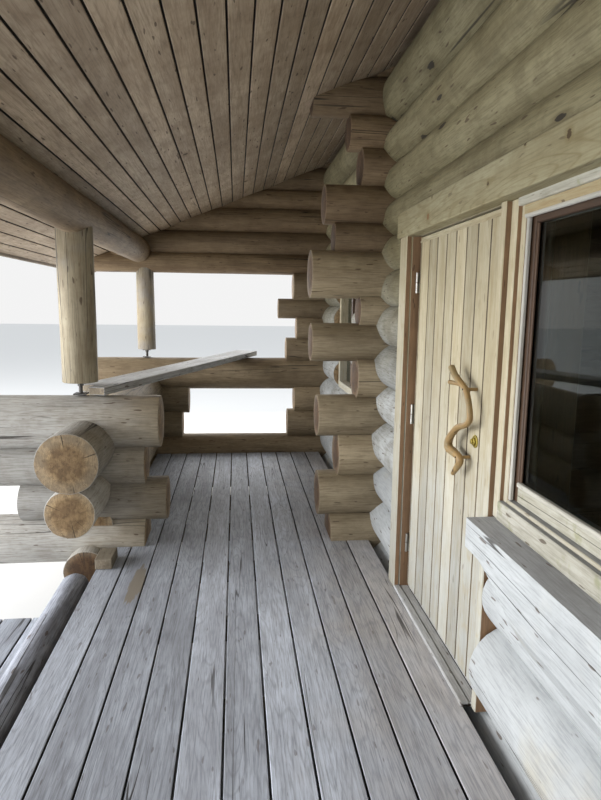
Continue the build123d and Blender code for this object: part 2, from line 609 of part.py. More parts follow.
# Loose pieces on the veranda
wide, long, thick = PLANK
plank = block(-wide, 0, 0, long, 0, thick) - block(-wide, -wide + PLANK_NOTCH[0], 0, PLANK_NOTCH[1], 0, thick)
flat_share = tan(radians(180 / LOG_SIDES))    # half the width of a log's top flat, as a share of its radius
near_rest = CROSS_Y - CORNER_RAILS[-1][1] * flat_share
far_rest = FAR_Y - GABLE_RAIL[1] * flat_share
plank_rise = (gable_rail_top - corner_top) / (far_rest - near_rest)
plank_low = corner_top + SCRIBE_GAP - (near_rest - PLANK_START[1]) * plank_rise
plank = Location((*PLANK_START, plank_low), (degrees(atan(plank_rise)), 0, 0)) * Location(
    (0, 0, 0), (0, 0, PLANK_TURN)) * plank
put("rail_plank", plank)
put("wood_block", block(BLOCK_AT[0] - BLOCK[0] / 2, BLOCK_AT[0] + BLOCK[0] / 2, BLOCK_AT[1] - BLOCK[1] / 2,
                        BLOCK_AT[1] + BLOCK[1] / 2, SCRIBE_GAP, BLOCK[2]))

# Pier blocks under the lowest logs
def piers(along, line, height, radius, places):
    for place in places:
        x, y = (line, place) if along == "Y" else (place, line)
        put("pier_blocks", block(x - PIER / 2, x + PIER / 2, y - PIER / 2, y + PIER / 2,
                                 GROUND, height - radius))


cross_sill = course(CROSS_COURSES, CROSS_BASE, 0)
long_sill = course(LONG_COURSES, LONG_BASE, 0)
for line in (NEAR_Y, FAR_Y):
    piers("X", line, *cross_sill, (RAIL_X, FRONT_X, (FRONT_X + BACK_X) / 2, BACK_X))
piers("X", CROSS_Y, *cross_sill, (FRONT_X, (FRONT_X + BACK_X) / 2, BACK_X))
for line in (FRONT_X, BACK_X):
    piers("Y", line, *long_sill, (400, 2200, 5200))
piers("Y", RAIL_X, *SIDE_RAILS[0][:2], (3850, 5200))
piers("Y", VERANDA_SILL_X, joist_low - VERANDA_SILL_R * 0.8, VERANDA_SILL_R, (-700, 1200, 3000))
piers("Y", BEARER_X, joist_low - BEARER, 0, (-900, 1300, 3100, 4800, 6000))

# Write every node, moved so that the origin lies on the ground in the middle of the plan
pieces = {node: [s for item in solids for s in item.solids()] for node, solids in nodes.items()}
whole = Compound([s for solids in pieces.values() for s in solids]).bounding_box()
home = Location((-whole.center().X, -whole.center().Y, -whole.min.Z))
os.makedirs("parts", exist_ok=True)
for node, solids in pieces.items():
    placed = [home * solid for solid in solids]
    export_step(placed[0] if len(placed) == 1 else Compound(placed), f"parts/{node}.step")
print(len(pieces), "nodes, origin shift", home.position)
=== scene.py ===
import bmesh
import bpy
import math
from mathutils import Matrix, Vector, noise


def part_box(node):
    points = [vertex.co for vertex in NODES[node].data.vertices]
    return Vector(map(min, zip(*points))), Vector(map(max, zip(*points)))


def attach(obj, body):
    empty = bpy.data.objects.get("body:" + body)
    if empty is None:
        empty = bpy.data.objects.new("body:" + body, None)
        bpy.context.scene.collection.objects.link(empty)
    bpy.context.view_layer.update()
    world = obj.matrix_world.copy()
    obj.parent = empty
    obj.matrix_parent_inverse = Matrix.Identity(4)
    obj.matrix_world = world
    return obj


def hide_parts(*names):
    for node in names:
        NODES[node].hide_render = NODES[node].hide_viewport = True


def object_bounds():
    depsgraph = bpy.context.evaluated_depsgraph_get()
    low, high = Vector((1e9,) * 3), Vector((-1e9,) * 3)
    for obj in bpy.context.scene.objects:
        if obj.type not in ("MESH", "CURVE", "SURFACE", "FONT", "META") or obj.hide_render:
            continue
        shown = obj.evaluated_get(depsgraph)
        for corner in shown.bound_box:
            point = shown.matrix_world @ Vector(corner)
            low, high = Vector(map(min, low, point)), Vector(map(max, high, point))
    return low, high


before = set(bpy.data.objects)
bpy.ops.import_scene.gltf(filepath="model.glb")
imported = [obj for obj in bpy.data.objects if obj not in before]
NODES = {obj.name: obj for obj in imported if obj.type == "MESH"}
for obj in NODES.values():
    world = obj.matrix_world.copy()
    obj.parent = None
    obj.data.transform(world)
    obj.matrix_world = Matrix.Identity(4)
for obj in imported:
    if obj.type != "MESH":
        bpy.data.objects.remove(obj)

bl_info = {
    "name": "Log cabin with a covered veranda",
    "version": (1, 0, 0),
    "blender": (4, 5, 0),
    "location": "3D View > Sidebar > Log cabin",
    "description": "Dresses the cabin frame with round logs, boards, door, windows and roof",
    "category": "Object",
}

CAD_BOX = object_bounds()

# The camera stands on the deck, measured from the low corner of the deck boards
CAMERA_FROM_DECK = (0.83, 1.18, 1.55)
CAMERA_YAW = 6.172
CAMERA_PITCH = -8.81
CAMERA_ROLL = 0.714
CAMERA_LENS = 27.045

# Materials of a wooden piece by number, and how squarely a face must look one way to be painted for it
SKIN, SAWN = 0, 1
FACING = 0.9

# Angles in degrees above which an edge is eased, and a round piece is shaded as a sharp one
SHARP = 28
ROUND = 42

# The seeds in the calls give each piece its own tone and its own stretch of the pattern. These are the shift of
# the pattern from one seed to the next, and the rows of noise that give each log and board its tone
GRAIN_SHIFT = 11.3
LOG_TONE = 3.1
BOARD_TONE = 8.4

# Stretches of log nearer than this across, up and along belong to one log
JOIN_ACROSS, JOIN_UP, JOIN_ALONG = 0.02, 0.03, 0.4


def linear(red, green, blue):
    """A colour given as it is seen on screen, 0 to 255, in linear values."""
    return tuple(c / 12.92 if c <= 0.04045 else ((c + 0.055) / 1.055) ** 2.4
                 for c in (red / 255, green / 255, blue / 255))


def colour(label, text, rgb):
    return bpy.props.FloatVectorProperty(name=label, description=text, subtype="COLOR", size=3, min=0, max=1,
                                         default=linear(*rgb))


def length(label, text, value):
    return bpy.props.FloatProperty(name=label, description=text, default=value, unit="LENGTH", subtype="DISTANCE")


class CabinColours(bpy.types.PropertyGroup):
    # The wall log colour is set darker than the peeled wood, as painted shade under the roof
    wall_log: colour("Wall logs", "Peeled logs of the walls", (148, 141, 110))
    wall_shade: colour("Wall log streaks", "Darker streaks in the wall logs", (96, 86, 58))
    silver: colour("Silvered wood", "Weathered wood near the deck", (178, 182, 184))
    veranda_log: colour("Veranda logs", "Rails, ties and purlins", (160, 146, 120))
    veranda_shade: colour("Veranda log streaks", "Darker streaks in the veranda logs", (104, 88, 64))
    veranda_silver: colour("Silvered rails", "Weathered skin of the rail logs", (176, 177, 176))
    deck: colour("Deck boards", "Grey deck boards", (198, 205, 218))
    deck_shade: colour("Deck streaks", "Darker grain of the deck", (128, 130, 138))
    deck_warm: colour("Sheltered deck", "Deck that rain seldom reaches", (182, 174, 166))
    soffit: colour("Soffit boards", "Boards under the roof", (196, 178, 154))
    soffit_shade: colour("Soffit streaks", "Darker grain of the soffit", (130, 108, 84))
    pine: colour("Planed pine", "Door boards, header and casings", (196, 188, 162))
    pine_shade: colour("Pine streaks", "Darker grain of planed pine", (160, 144, 106))
    stained: colour("Stained edges", "Brown sides of the casings", (146, 114, 84))
    sash: colour("Sash", "Brown window sash", (84, 62, 44))
    branch: colour("Branch", "Peeled branch of the handle", (166, 136, 88))
    end_light: colour("End grain", "Sawn log ends", (168, 142, 104))
    end_dark: colour("End grain rings", "Rings and weathering of log ends", (112, 88, 60))
    crack: colour("Cracks", "Depth of drying cracks", (36, 30, 24))
    knot: colour("Knots", "Branch knots", (70, 50, 34))
    felt: colour("Roofing", "Mineral felt of the roof", (66, 68, 70))
    edge_log: colour("Edge log", "Cracked grey log beside the deck", (190, 196, 210))


class CabinSizes(bpy.types.PropertyGroup):
    log_sides: bpy.props.IntProperty(name="Log sides", description="Faces round a log", default=30, min=12, max=64)
    log_step: length("Log step", "Length of the straight stretches in a log", 0.30)
    log_wobble: length("Log wobble", "How far a log's skin wanders in and out", 0.005)
    log_taper: bpy.props.FloatProperty(name="Log taper", description="Share of the radius lost at the thin end",
                                       default=0.05, min=0, max=0.2)
    end_bevel: length("End bevel", "Eased rim of a sawn log end", 0.004)
    end_step: length("End step", "How far neighbouring log ends differ, so that none share a plane", 0.0004)
    soffit_pitch: length("Soffit pitch", "Distance from one soffit board to the next", 0.1125)
    soffit_gap: length("Soffit gap", "Dark gap between soffit boards", 0.008)
    board_bevel: length("Board edges", "Eased edge of planed boards", 0.003)
    deck_ease: length("Deck edges", "Eased edge of deck boards", 0.0025)
    door_ease: length("Door edges", "Eased edge of door boards", 0.005)


def colours():
    return bpy.context.scene.cabin_colours


def sizes():
    return bpy.context.scene.cabin_sizes


# Node groups shared by the materials

class Wires:
    """Short calls for the nodes that the materials and groups use."""

    def __init__(self, tree):
        self.tree = tree

    def feed(self, socket, value):
        """Link or set a socket; None leaves it as it is, and a colour may come without its fourth value."""
        if isinstance(value, bpy.types.NodeSocket):
            self.tree.links.new(value, socket)
        elif value is not None:
            if socket.type == "RGBA" and len(value) == 3:
                value = (*value, 1)
            socket.default_value = value

    def node(self, kind, inputs, **settings):
        """A new node with its settings, and its inputs fed by name or number."""
        made = self.tree.nodes.new("ShaderNode" + kind)
        for key, value in settings.items():
            setattr(made, key, value)
        for key, value in inputs.items():
            self.feed(made.inputs[key], value)
        return made

    def math(self, operation, *values):
        return self.node("Math", dict(enumerate(values)), operation=operation).outputs[0]

    def times(self, a, b):
        return self.math("MULTIPLY", a, b)

    def plus(self, a, b):
        return self.math("ADD", a, b)

    def minus(self, a, b):
        return self.math("SUBTRACT", a, b)

    def scaled(self, value, by, add):
        return self.math("MULTIPLY_ADD", value, by, add)

    def ramp(self, value, low, high):
        """0 below the low value, 1 above the high one."""
        return self.node("MapRange", {"Value": value, "From Min": low, "From Max": high},
                         interpolation_type="SMOOTHSTEP").outputs["Result"]

    def less(self, value, low, high):
        """1 below the low value, 0 above the high one."""
        return self.minus(1.0, self.ramp(value, low, high))

    def noise(self, vector, scale, detail=3.0, rough=0.5, distortion=0.0):
        return self.node("TexNoise", {"Vector": vector, "Scale": scale, "Detail": detail, "Roughness": rough,
                                      "Distortion": distortion}).outputs[0]

    def fibres(self, grain, stretch, scale=1.0, detail=3.0, rough=0.5, distortion=0.0):
        """Noise drawn out along the grain."""
        return self.noise(self.stretch(grain, stretch), scale, detail, rough, distortion)

    def wobble(self, vector, scale, amount, detail=3.0, rough=0.6):
        """Noise round zero, to make an edge ragged."""
        return self.times(self.minus(self.noise(vector, scale, detail, rough), 0.5), amount)

    def stretch(self, vector, amounts):
        return self.node("VectorMath", {0: vector, 1: amounts}, operation="MULTIPLY").outputs[0]

    def distance(self, a, b):
        return self.node("VectorMath", {0: a, 1: b}, operation="DISTANCE").outputs["Value"]

    def place(self):
        return self.node("TexCoord", {}).outputs["Object"]

    def attribute(self, name, output):
        return self.node("Attribute", {}, attribute_name=name).outputs[output]

    def split(self, vector):
        return self.node("SeparateXYZ", {0: vector}).outputs

    def from_middle(self, parts):
        """Distance from a log's axis."""
        return self.math("SQRT", self.plus(self.times(parts[1], parts[1]), self.times(parts[2], parts[2])))

    def mix(self, factor, a, b):
        return self.node("Mix", {"Factor": factor, 6: a, 7: b}, data_type="RGBA").outputs[2]

    def over(self, base, mask, amount, tint):
        """A colour laid over another one where a mask is strong."""
        return self.mix(self.times(mask, amount), base, tint)

    def brightness(self, tint, value):
        return self.node("HueSaturation", {"Color": tint, "Value": value}).outputs[0]

    def bump(self, height, strength, distance):
        return self.node("Bump", {"Strength": strength, "Distance": distance, "Height": height}).outputs[0]

    def group(self, name, **values):
        return self.node("Group", values, node_tree=bpy.data.node_groups[name]).outputs


def new_group(name, outputs, **numbers):
    """A shader node group that reads the grain and some numbers: its wires, its inside start and its end."""
    tree = bpy.data.node_groups.new(name, "ShaderNodeTree")
    tree.interface.new_socket(name="Grain", in_out="INPUT", socket_type="NodeSocketVector")
    for label, value in numbers.items():
        tree.interface.new_socket(name=label, in_out="INPUT", socket_type="NodeSocketFloat").default_value = value
    for label in outputs:
        tree.interface.new_socket(name=label, in_out="OUTPUT", socket_type="NodeSocketFloat")
    return Wires(tree), tree.nodes.new("NodeGroupInput").outputs, tree.nodes.new("NodeGroupOutput").inputs


# The groups' sizes are in metres of the piece's own grain

def fibre_group():
    """Fibres of three widths, short dark flecks, and the flames of a slab's figure."""
    w, start, end = new_group("fibre", ("Fine", "Middle", "Broad", "Fleck", "Figure"), Fineness=1.0)
    grain, fineness = start["Grain"], start["Fineness"]
    w.feed(end["Fine"], w.fibres(grain, (9.0, 150, 150), fineness, 3.0, 0.65))
    w.feed(end["Middle"], w.fibres(grain, (2.6, 38, 38), fineness, 4.0, 0.65, 0.3))
    w.feed(end["Broad"], w.fibres(grain, (1.1, 8, 8), fineness, 4.0, 0.6, 0.5))
    w.feed(end["Fleck"], w.ramp(w.fibres(grain, (11, 52, 52), fineness, 1.0), 0.70, 0.745))
    swirl = w.fibres(grain, (0.8, 7, 7), fineness, 1.0, 0.4)
    w.feed(end["Figure"], w.ramp(w.math("PINGPONG", w.times(swirl, 22.0), 0.5), 0.34, 0.49))


def checks_group():
    """Drying cracks along the grain, in patches."""
    w, start, end = new_group("checks", ("Mask",), Width=0.012, Amount=0.5)
    grain = start["Grain"]
    near = w.math("ABSOLUTE", w.minus(w.fibres(grain, (0.45, 17, 17), 1.0, 1.0, 0.5, 0.1), 0.5))
    limit = w.minus(1.0, start["Amount"])
    patch = w.ramp(w.fibres(grain, (0.8, 5, 5), 1.0, 1.0), w.minus(limit, 0.04), w.plus(limit, 0.08))
    width = w.times(start["Width"], patch)
    w.feed(end["Mask"], w.times(w.less(near, w.times(width, 0.3), width), patch))


def knots_group():
    """Branch knots, each with a core and a softer halo."""
    w, start, end = new_group("knots", ("Core", "Halo"), Spread=2.4, Size=0.05)
    grain, size = start["Grain"], start["Size"]
    bend = w.wobble(grain, 30.0, w.times(size, 0.9), 2.0, 0.5)
    cells = w.node("TexVoronoi", {"Vector": w.stretch(grain, (0.75, 1.0, 1.0)), "Scale": start["Spread"]})
    apart = w.plus(cells.outputs["Distance"], bend)
    w.feed(end["Core"], w.less(apart, w.times(size, 0.6), size))
    w.feed(end["Halo"], w.less(apart, size, w.times(size, 2.6)))


def rings_group():
    """Growth rings of a sawn end, drying cracks that run out from its heart, and dark spots."""
    w, start, end = new_group("rings", ("Ring", "Ray", "Spot"), Number=0.0)
    grain = start["Grain"]
    parts = w.split(grain)
    radius = w.plus(w.from_middle(parts), w.wobble(grain, 7.0, 0.035, 2.0, 0.5))
    w.feed(end["Ring"], w.scaled(w.math("SINE", w.times(radius, 780.0)), 0.5, 0.5))
    turn = w.plus(w.math("ARCTAN2", parts[2], parts[1]), w.times(start["Number"], 9.7))
    rays = w.node("TexVoronoi", {"W": turn, "Scale": 1.1}, voronoi_dimensions="1D").outputs["Distance"]
    opening = w.times(w.ramp(radius, 0.01, 0.15), 0.0036)
    reach = w.times(w.ramp(w.fibres(grain, (1, 9, 9), 1.0, 1.0), 0.42, 0.56), w.ramp(radius, 0.012, 0.03))
    w.feed(end["Ray"], w.times(w.less(w.times(rays, radius), w.times(opening, 0.4), opening), reach))
    w.feed(end["Spot"], w.ramp(w.noise(grain, 36.0, 3.0, 0.6), 0.60, 0.68))


# Materials

MADE = {}


def material(name, rough, metal=0.0):
    """A new material, its wires and the inputs of its Principled shader."""
    made = bpy.data.materials.new(name)
    made.use_nodes = True
    shader = made.node_tree.nodes["Principled BSDF"]
    shader.inputs["Roughness"].default_value = rough
    shader.inputs["Metallic"].default_value = metal
    return made, Wires(made.node_tree), shader.inputs


def darker(rgb, share):
    return tuple(c * share for c in rgb)


def wood(key, light, dark, rough=0.75, fineness=1.0, streaks=0.4, fine=0.42, blotchy=0.5, flecks=0.75, figure=0.0,
         cracks=0.40, crack_width=0.012, knot_spread=2.4, knot_size=0.035, bump=0.55, vary=0.18, weather=None,
         marks=(), stretch=(1, 1, 1)):
    """Wood whose pattern follows the piece's grain; weather is a colour and a mask, and marks are single spots."""
    MADE[key], w, shader = material(key + "_wood", rough)
    tone = colours()
    grain, own, place = w.attribute("grain", "Vector"), w.attribute("tone", "Fac"), w.place()
    fibre = w.group("fibre", Grain=grain, Fineness=fineness)
    checks = w.group("checks", Grain=grain, Width=crack_width, Amount=cracks)["Mask"]
    middle = w.ramp(fibre["Middle"], 0.40, 0.66)
    base = w.over(light, w.ramp(fibre["Broad"], 0.40, 0.64), streaks, dark)
    base = w.over(base, middle, streaks * 0.6, dark)
    base = w.over(base, w.ramp(w.noise(place, 1.6, 3.0, 0.6), 0.42, 0.7), 0.25, dark)
    if weather is not None:
        silver, mask = weather
        base = w.mix(mask(w, place), base, w.over(silver, middle, 0.3, darker(silver, 0.6)))
    if figure:
        base = w.over(base, fibre["Figure"], figure, dark)
    blotch = w.ramp(w.noise(grain, 6.0, 5.0, 0.68), 0.42, 0.66)
    base = w.over(base, blotch, blotchy, w.mix(0.5, base, darker(dark, 0.8)))
    base = w.over(base, w.ramp(fibre["Fine"], 0.42, 0.68), fine, darker(dark, 0.7))
    if knot_size:
        knots = w.group("knots", Grain=grain, Spread=knot_spread, Size=knot_size)
        base = w.over(base, knots["Halo"], 0.4, dark)
        base = w.over(base, knots["Core"], 0.85, tone.knot)
    base = w.over(base, fibre["Fleck"], flecks, tone.knot)
    for point, size, tint in marks:
        away = w.distance(w.stretch(place, stretch), tuple(a * b for a, b in zip(point, stretch)))
        away = w.plus(away, w.times(w.minus(fibre["Middle"], 0.5), size * 2.5))
        base = w.over(base, w.less(away, size, size * 2.4), 0.5, dark)
        base = w.over(base, w.less(away, size * 0.8, size), 0.9, tint)
    base = w.over(base, checks, 0.85, tone.crack)
    w.feed(shader["Base Color"], w.brightness(base, w.scaled(own, vary * 2, 1.0)))
    rise = w.minus(w.scaled(fibre["Fine"], 0.3, w.times(fibre["Middle"], 0.45)), checks)
    w.feed(shader["Normal"], w.bump(rise, bump, 0.003))
    w.feed(shader["Roughness"], w.scaled(fibre["Middle"], 0.2, rough - 0.1))


def end_wood(key, light, dark):
    """Sawn end of a log, with rings, a dark heart, drying cracks, dark spots and a paler rim, partly weathering and
    partly a painted highlight.
    """
    MADE[key], w, shader = material(key + "_wood", 0.85)
    grain, own = w.attribute("grain", "Vector"), w.attribute("tone", "Fac")
    rings = w.group("rings", Grain=grain, Number=own)
    radius = w.from_middle(w.split(grain))
    saw = w.fibres(grain, (1, 120, 22), 1.0, 4.0, 0.7)
    rough_spots = w.noise(grain, 48.0, 4.0, 0.7)
    heart = w.less(w.plus(radius, w.wobble(grain, 11.0, 0.05, 3.0, 0.5)), 0.085, 0.11)
    base = w.over(light, rings["Ring"], 0.3, dark)
    base = w.over(base, heart, 0.55, dark)
    for mask, amount, tint in (
            (w.ramp(w.noise(grain, 13.0, 4.0, 0.65), 0.42, 0.62), 0.7, darker(dark, 0.75)),
            (w.ramp(rough_spots, 0.45, 0.65), 0.5, darker(dark, 0.5)),
            (w.ramp(radius, 0.085, 0.15), 0.4, linear(*END_RIM)), (w.ramp(saw, 0.45, 0.7), 0.4, darker(dark, 0.6)),
            (rings["Spot"], 0.4, darker(dark, 0.4)), (rings["Ray"], 0.9, colours().crack)):
        base = w.over(base, mask, amount, tint)
    w.feed(shader["Base Color"], w.brightness(base, w.scaled(own, 0.12, 1.0)))
    rise = w.scaled(rough_spots, 0.5, w.times(saw, 0.5))
    w.feed(shader["Normal"], w.bump(w.minus(rise, rings["Ray"]), 0.7, 0.004))


def surface(name, rgb, rough, metal, speck, scale):
    """Painted, metal or mineral surface with a faint mottle in colour and sheen."""
    MADE[name], w, shader = material(name, rough, metal)
    mottle = w.noise(w.place(), scale, 4.0, 0.6)
    w.feed(shader["Base Color"], w.over(linear(*rgb), w.ramp(mottle, 0.3, 0.75), speck, darker(linear(*rgb), 0.45)))
    w.feed(shader["Roughness"], w.scaled(mottle, 0.2, rough - 0.1))
    w.feed(shader["Normal"], w.bump(mottle, 0.2, 0.001))


def roof_felt():
    """Mineral felt with grit, moss-grey stains and small pale spots."""
    MADE["roof_felt"], w, shader = material("roof_felt", 0.9)
    place, felt = w.place(), colours().felt
    grit = w.noise(place, 420.0, 2.0)
    base = w.mix(w.ramp(grit, 0.4, 0.62), darker(felt, 0.5), darker(felt, 1.5))
    base = w.over(base, w.ramp(w.noise(place, 1.3, 6.0, 0.7), 0.48, 0.7), 0.35, linear(96, 98, 82))
    base = w.over(base, w.ramp(w.noise(place, 16.0, 5.0, 0.7), 0.60, 0.70), 0.3, linear(120, 118, 104))
    w.feed(shader["Base Color"], w.brightness(base, w.scaled(w.attribute("tone", "Fac"), 0.3, 1.0)))
    w.feed(shader["Normal"], w.bump(grit, 0.4, 0.002))


def window_glass():
    """Clear glass with a faint green."""
    MADE["window_glass"], w, shader = material("window_glass", 0.02)
    w.feed(shader["Base Color"], linear(176, 190, 182))
    w.feed(shader["IOR"], 1.4)
    w.feed(shader["Transmission Weight"], 1.0)


# Masks for weathered wood, each with ragged edges; on the walls the height mask is partly painted shade, leaving the
# upper logs darker

def below(low, high, most=0.9):
    """Strong below the low height, and fades out towards the high one."""
    def mask(w, place):
        return w.times(w.less(w.plus(w.split(place)[2], w.wobble(place, 1.7, 0.8)), low, high), most)
    return mask


def towards_wall(low, high, most=0.7):
    """Grows from the open side of the veranda towards the wall."""
    def mask(w, place):
        return w.times(w.ramp(w.plus(w.split(place)[0], w.wobble(place, 2.3, 0.9)), low, high), most)
    return mask


def open_side(x_low, x_high, y_low, y_high, most):
    """For the rails along the open side, and fades out towards the wall and the far gable."""
    def mask(w, place):
        wobble, parts = w.wobble(place, 2.0, 0.8), w.split(place)
        outer = w.less(w.plus(parts[0], wobble), x_low, x_high)
        return w.times(w.times(outer, w.less(w.plus(parts[1], wobble), y_low, y_high)), most)
    return mask


def patches(scale, low, high, most):
    def mask(w, place):
        return w.times(w.ramp(w.noise(place, scale, 4.0, 0.65), low, high), most)
    return mask


# Gouges of the upper wall logs, as place and radius, and the stain of the deck; each wood's stretch draws its
# marks out along the grain, and leaves out the direction across its surface
WALL_SPOTS = (((0, 1.177, 3.124), 0.018), ((0, 1.30, 3.150), 0.012), ((0, 0.560, 2.872), 0.020),
              ((0, 0.700, 2.890), 0.014), ((0, 0.263, 2.829), 0.014), ((0, 0.484, 3.166), 0.016),
              ((0, 0.958, 3.417), 0.014), ((0, 0.300, 2.960), 0.010), ((0, -0.807, 2.549), 0.010))
DECK_STAIN = ((-2.785, 0.70, 0), 0.045, (136, 126, 110))

# Knots of the header board, from its far lower corner: along, up, radius and colour
KNOT_BROWN = (74, 56, 34)
HEADER_KNOTS = ((0.525, 0.050, 0.018, (128, 88, 52)), (0.571, 0.126, 0.008, KNOT_BROWN),
                (1.186, 0.067, 0.009, KNOT_BROWN), (0.090, 0.030, 0.006, KNOT_BROWN),
                (1.70, 0.09, 0.014, KNOT_BROWN), (1.45, 0.13, 0.007, KNOT_BROWN))
# Paler outer band of a sawn end: partly weathering, partly a painted highlight on the rim
END_RIM = (150, 140, 122)

# Woods without weather or marks of their own: light and dark tone, and what differs from wood's usual look
BARE = dict(cracks=0.2, knot_size=0.0)
WOODS = {
    "shelf_top": ((158, 160, 162), (116, 116, 116), dict(cracks=0.35, streaks=0.3, knot_spread=3.0, knot_size=0.05)),
    "beam": ((140, 120, 92), (84, 64, 42), dict(cracks=0.42, crack_width=0.013)),
    "plank": ((198, 200, 202), (128, 124, 118), dict(cracks=0.42, knot_size=0.03)),
    "fascia": ((142, 130, 112), (96, 84, 66), dict(cracks=0.42, knot_size=0.04)),
    "amber": ((180, 170, 138), (172, 134, 74), dict(cracks=0.35, knot_size=0.03, streaks=0.35)),
    "bead": ((200, 198, 190), (150, 146, 132), dict(BARE, rough=0.5, flecks=0.3)),
    "rough": ((150, 140, 122), (100, 88, 70), {}),
    # Painted shade: dark tone for the sides of boards in the gaps between them, and for the door's backing in its
    # joints
    "gap": ((48, 42, 38), (30, 26, 22), BARE),
    # Painted shade: darker tone for the sides of the door boards in their joints and the underside of the top rail
    "joint": ((112, 98, 74), (70, 56, 38), BARE),
    "inner": ((184, 156, 112), (140, 108, 66), dict(cracks=0.2, rough=0.55, knot_size=0.04, figure=0.3)),
}

# Other surfaces: colour, roughness, metal, strength and scale of the mottle
SURFACES = {
    "bright_steel": ((190, 190, 186), 0.35, 1.0, 0.2, 60.0), "dark_steel": ((96, 94, 92), 0.55, 0.8, 0.4, 60.0),
    "brass": ((178, 162, 88), 0.45, 1.0, 0.3, 60.0), "pier_block": ((168, 166, 160), 0.9, 0, 0.35, 30.0),
    # Dark on the handle's pin heads and the roof core; in the threshold's grooves it is painted shade
    "dark_gap": ((40, 32, 24), 0.9, 0, 0.3, 20.0),
}


def make_materials():
    for make_group in (fibre_group, checks_group, knots_group, rings_group):
        make_group()
    tone = colours()
    deck_low, deck_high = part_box("deck_boards")
    top = deck_high.z
    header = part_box("header_board")
    for key, (light, dark, look) in WOODS.items():
        wood(key, linear(*light), linear(*dark), **look)
    for name, values in SURFACES.items():
        surface(name, *values)
    roof_felt()
    window_glass()
    end_wood("end", tone.end_light, tone.end_dark)
    # Darker brown sawn ends: painted shade on the ends that face the wall or lie below the deck
    end_wood("shaded_end", linear(112, 84, 54), linear(70, 50, 32))
    end_wood("grey_end", linear(176, 164, 146), linear(124, 112, 94))

    # The walls turn silver towards the deck and keep the darker wall log colour higher up: partly weathering, partly
    # painted shade under the roof
    wood("wall", tone.wall_log, tone.wall_shade, weather=(tone.silver, below(top + 0.9, top + 2.0)), cracks=0.36,
         streaks=0.45, blotchy=0.8, stretch=(0, 0.3, 1), marks=[(*spot, tone.crack) for spot in WALL_SPOTS])
    wood("low_wall", tone.silver, darker(tone.silver, 0.55), cracks=0.46, crack_width=0.014, knot_size=0.03,
         streaks=0.15, blotchy=0.4, weather=(linear(180, 172, 150), patches(2.2, 0.5, 0.7, 0.5)))
    wood("veranda", tone.veranda_log, tone.veranda_shade, cracks=0.44, crack_width=0.013,
         weather=(tone.veranda_silver, open_side(deck_low.x - 0.3, deck_low.x + 0.6, deck_high.y - 2.0,
                                                 deck_high.y - 1.0, 0.8)))
    wood("gable", linear(146, 130, 104), linear(92, 74, 52), cracks=0.44, crack_width=0.013,
         weather=(tone.silver, towards_wall(deck_high.x + 0.2, deck_high.x + 0.8, 0.9)))
    wood("post", linear(178, 168, 144), linear(124, 108, 82), cracks=0.60, crack_width=0.02, streaks=0.5,
         blotchy=0.6, weather=(linear(150, 150, 150), patches(1.4, 0.46, 0.62, 0.7)))
    wood("edge", tone.edge_log, linear(96, 96, 104), cracks=0.62, crack_width=0.03, streaks=0.6, fine=0.6,
         blotchy=0.6, bump=0.8)
    stain, size, stain_tint = DECK_STAIN
    wood("deck", tone.deck, tone.deck_shade, cracks=0.42, crack_width=0.010, knot_size=0.030, knot_spread=2.2,
         streaks=0.45, fine=0.5, blotchy=0.28, flecks=0.45, figure=0.35, bump=0.6, vary=0.2, stretch=(1, 0.2, 0),
         weather=(tone.deck_warm, towards_wall(deck_low.x + 1.0, deck_high.x)),
         marks=[(stain, size, linear(*stain_tint))])
    wood("soffit", tone.soffit, tone.soffit_shade, cracks=0.30, knot_size=0.045, fine=0.4, blotchy=0.6, figure=0.2)

    planed = dict(fine=0.3, flecks=0.4, bump=0.25)
    wood("pine", tone.pine, tone.pine_shade, cracks=0.28, knot_size=0.03, knot_spread=1.8, streaks=0.35,
         figure=0.25, crack_width=0.006, weather=(linear(168, 170, 166), below(top + 0.3, top + 1.8, 0.85)), **planed)
    wood("door", tone.pine, tone.pine_shade, cracks=0.26, knot_size=0.022, knot_spread=2.2, streaks=0.5,
         figure=0.25, crack_width=0.006, vary=0.14,
         weather=(linear(162, 166, 166), below(top + 0.3, top + 1.6, 0.85)), **planed)
    wood("header", linear(170, 164, 134), linear(124, 110, 70), cracks=0.30, knot_size=0.0, streaks=0.3, figure=0.4,
         crack_width=0.008, marks=[((header[0].x, header[1].y - along, header[0].z + up), radius, linear(*tint))
                                   for along, up, radius, tint in HEADER_KNOTS], **planed)
    wood("stained", tone.stained, darker(tone.stained, 0.55), rough=0.6, streaks=0.5, **BARE)
    wood("sash", tone.sash, darker(tone.sash, 0.5), rough=0.5, **BARE)
    wood("sill", linear(190, 188, 178), linear(136, 132, 112), cracks=0.46, knot_size=0.03,
         weather=(linear(138, 140, 96), patches(6.0, 0.58, 0.68, 0.6)))
    wood("branch", tone.branch, darker(tone.branch, 0.5), rough=0.5, fineness=1.6, cracks=0.35, knot_size=0.10,
         knot_spread=14.0, weather=(linear(142, 134, 104), patches(9.0, 0.48, 0.62, 0.6)))


# Reading the frame

def merged(node):
    """The node's mesh with its loose triangles joined."""
    bm = bmesh.new()
    bm.from_mesh(NODES[node].data)
    bmesh.ops.remove_doubles(bm, verts=bm.verts, dist=1e-5)
    return bm


def parts_of(bm):
    """The corners of each separate solid in a bmesh."""
    left = dict.fromkeys(bm.verts)
    found = []
    while left:
        stack = [next(iter(left))]
        del left[stack[0]]
        part = []
        while stack:
            vert = stack.pop()
            part.append(vert)
            for edge in vert.link_edges:
                other = edge.other_vert(vert)
                if other in left:
                    del left[other]
                    stack.append(other)
        found.append(part)
    return found


def islands(node):
    """Corner points of each separate solid of a CAD node."""
    bm = merged(node)
    found = [[v.co.copy() for v in part] for part in parts_of(bm)]
    bm.free()
    return found


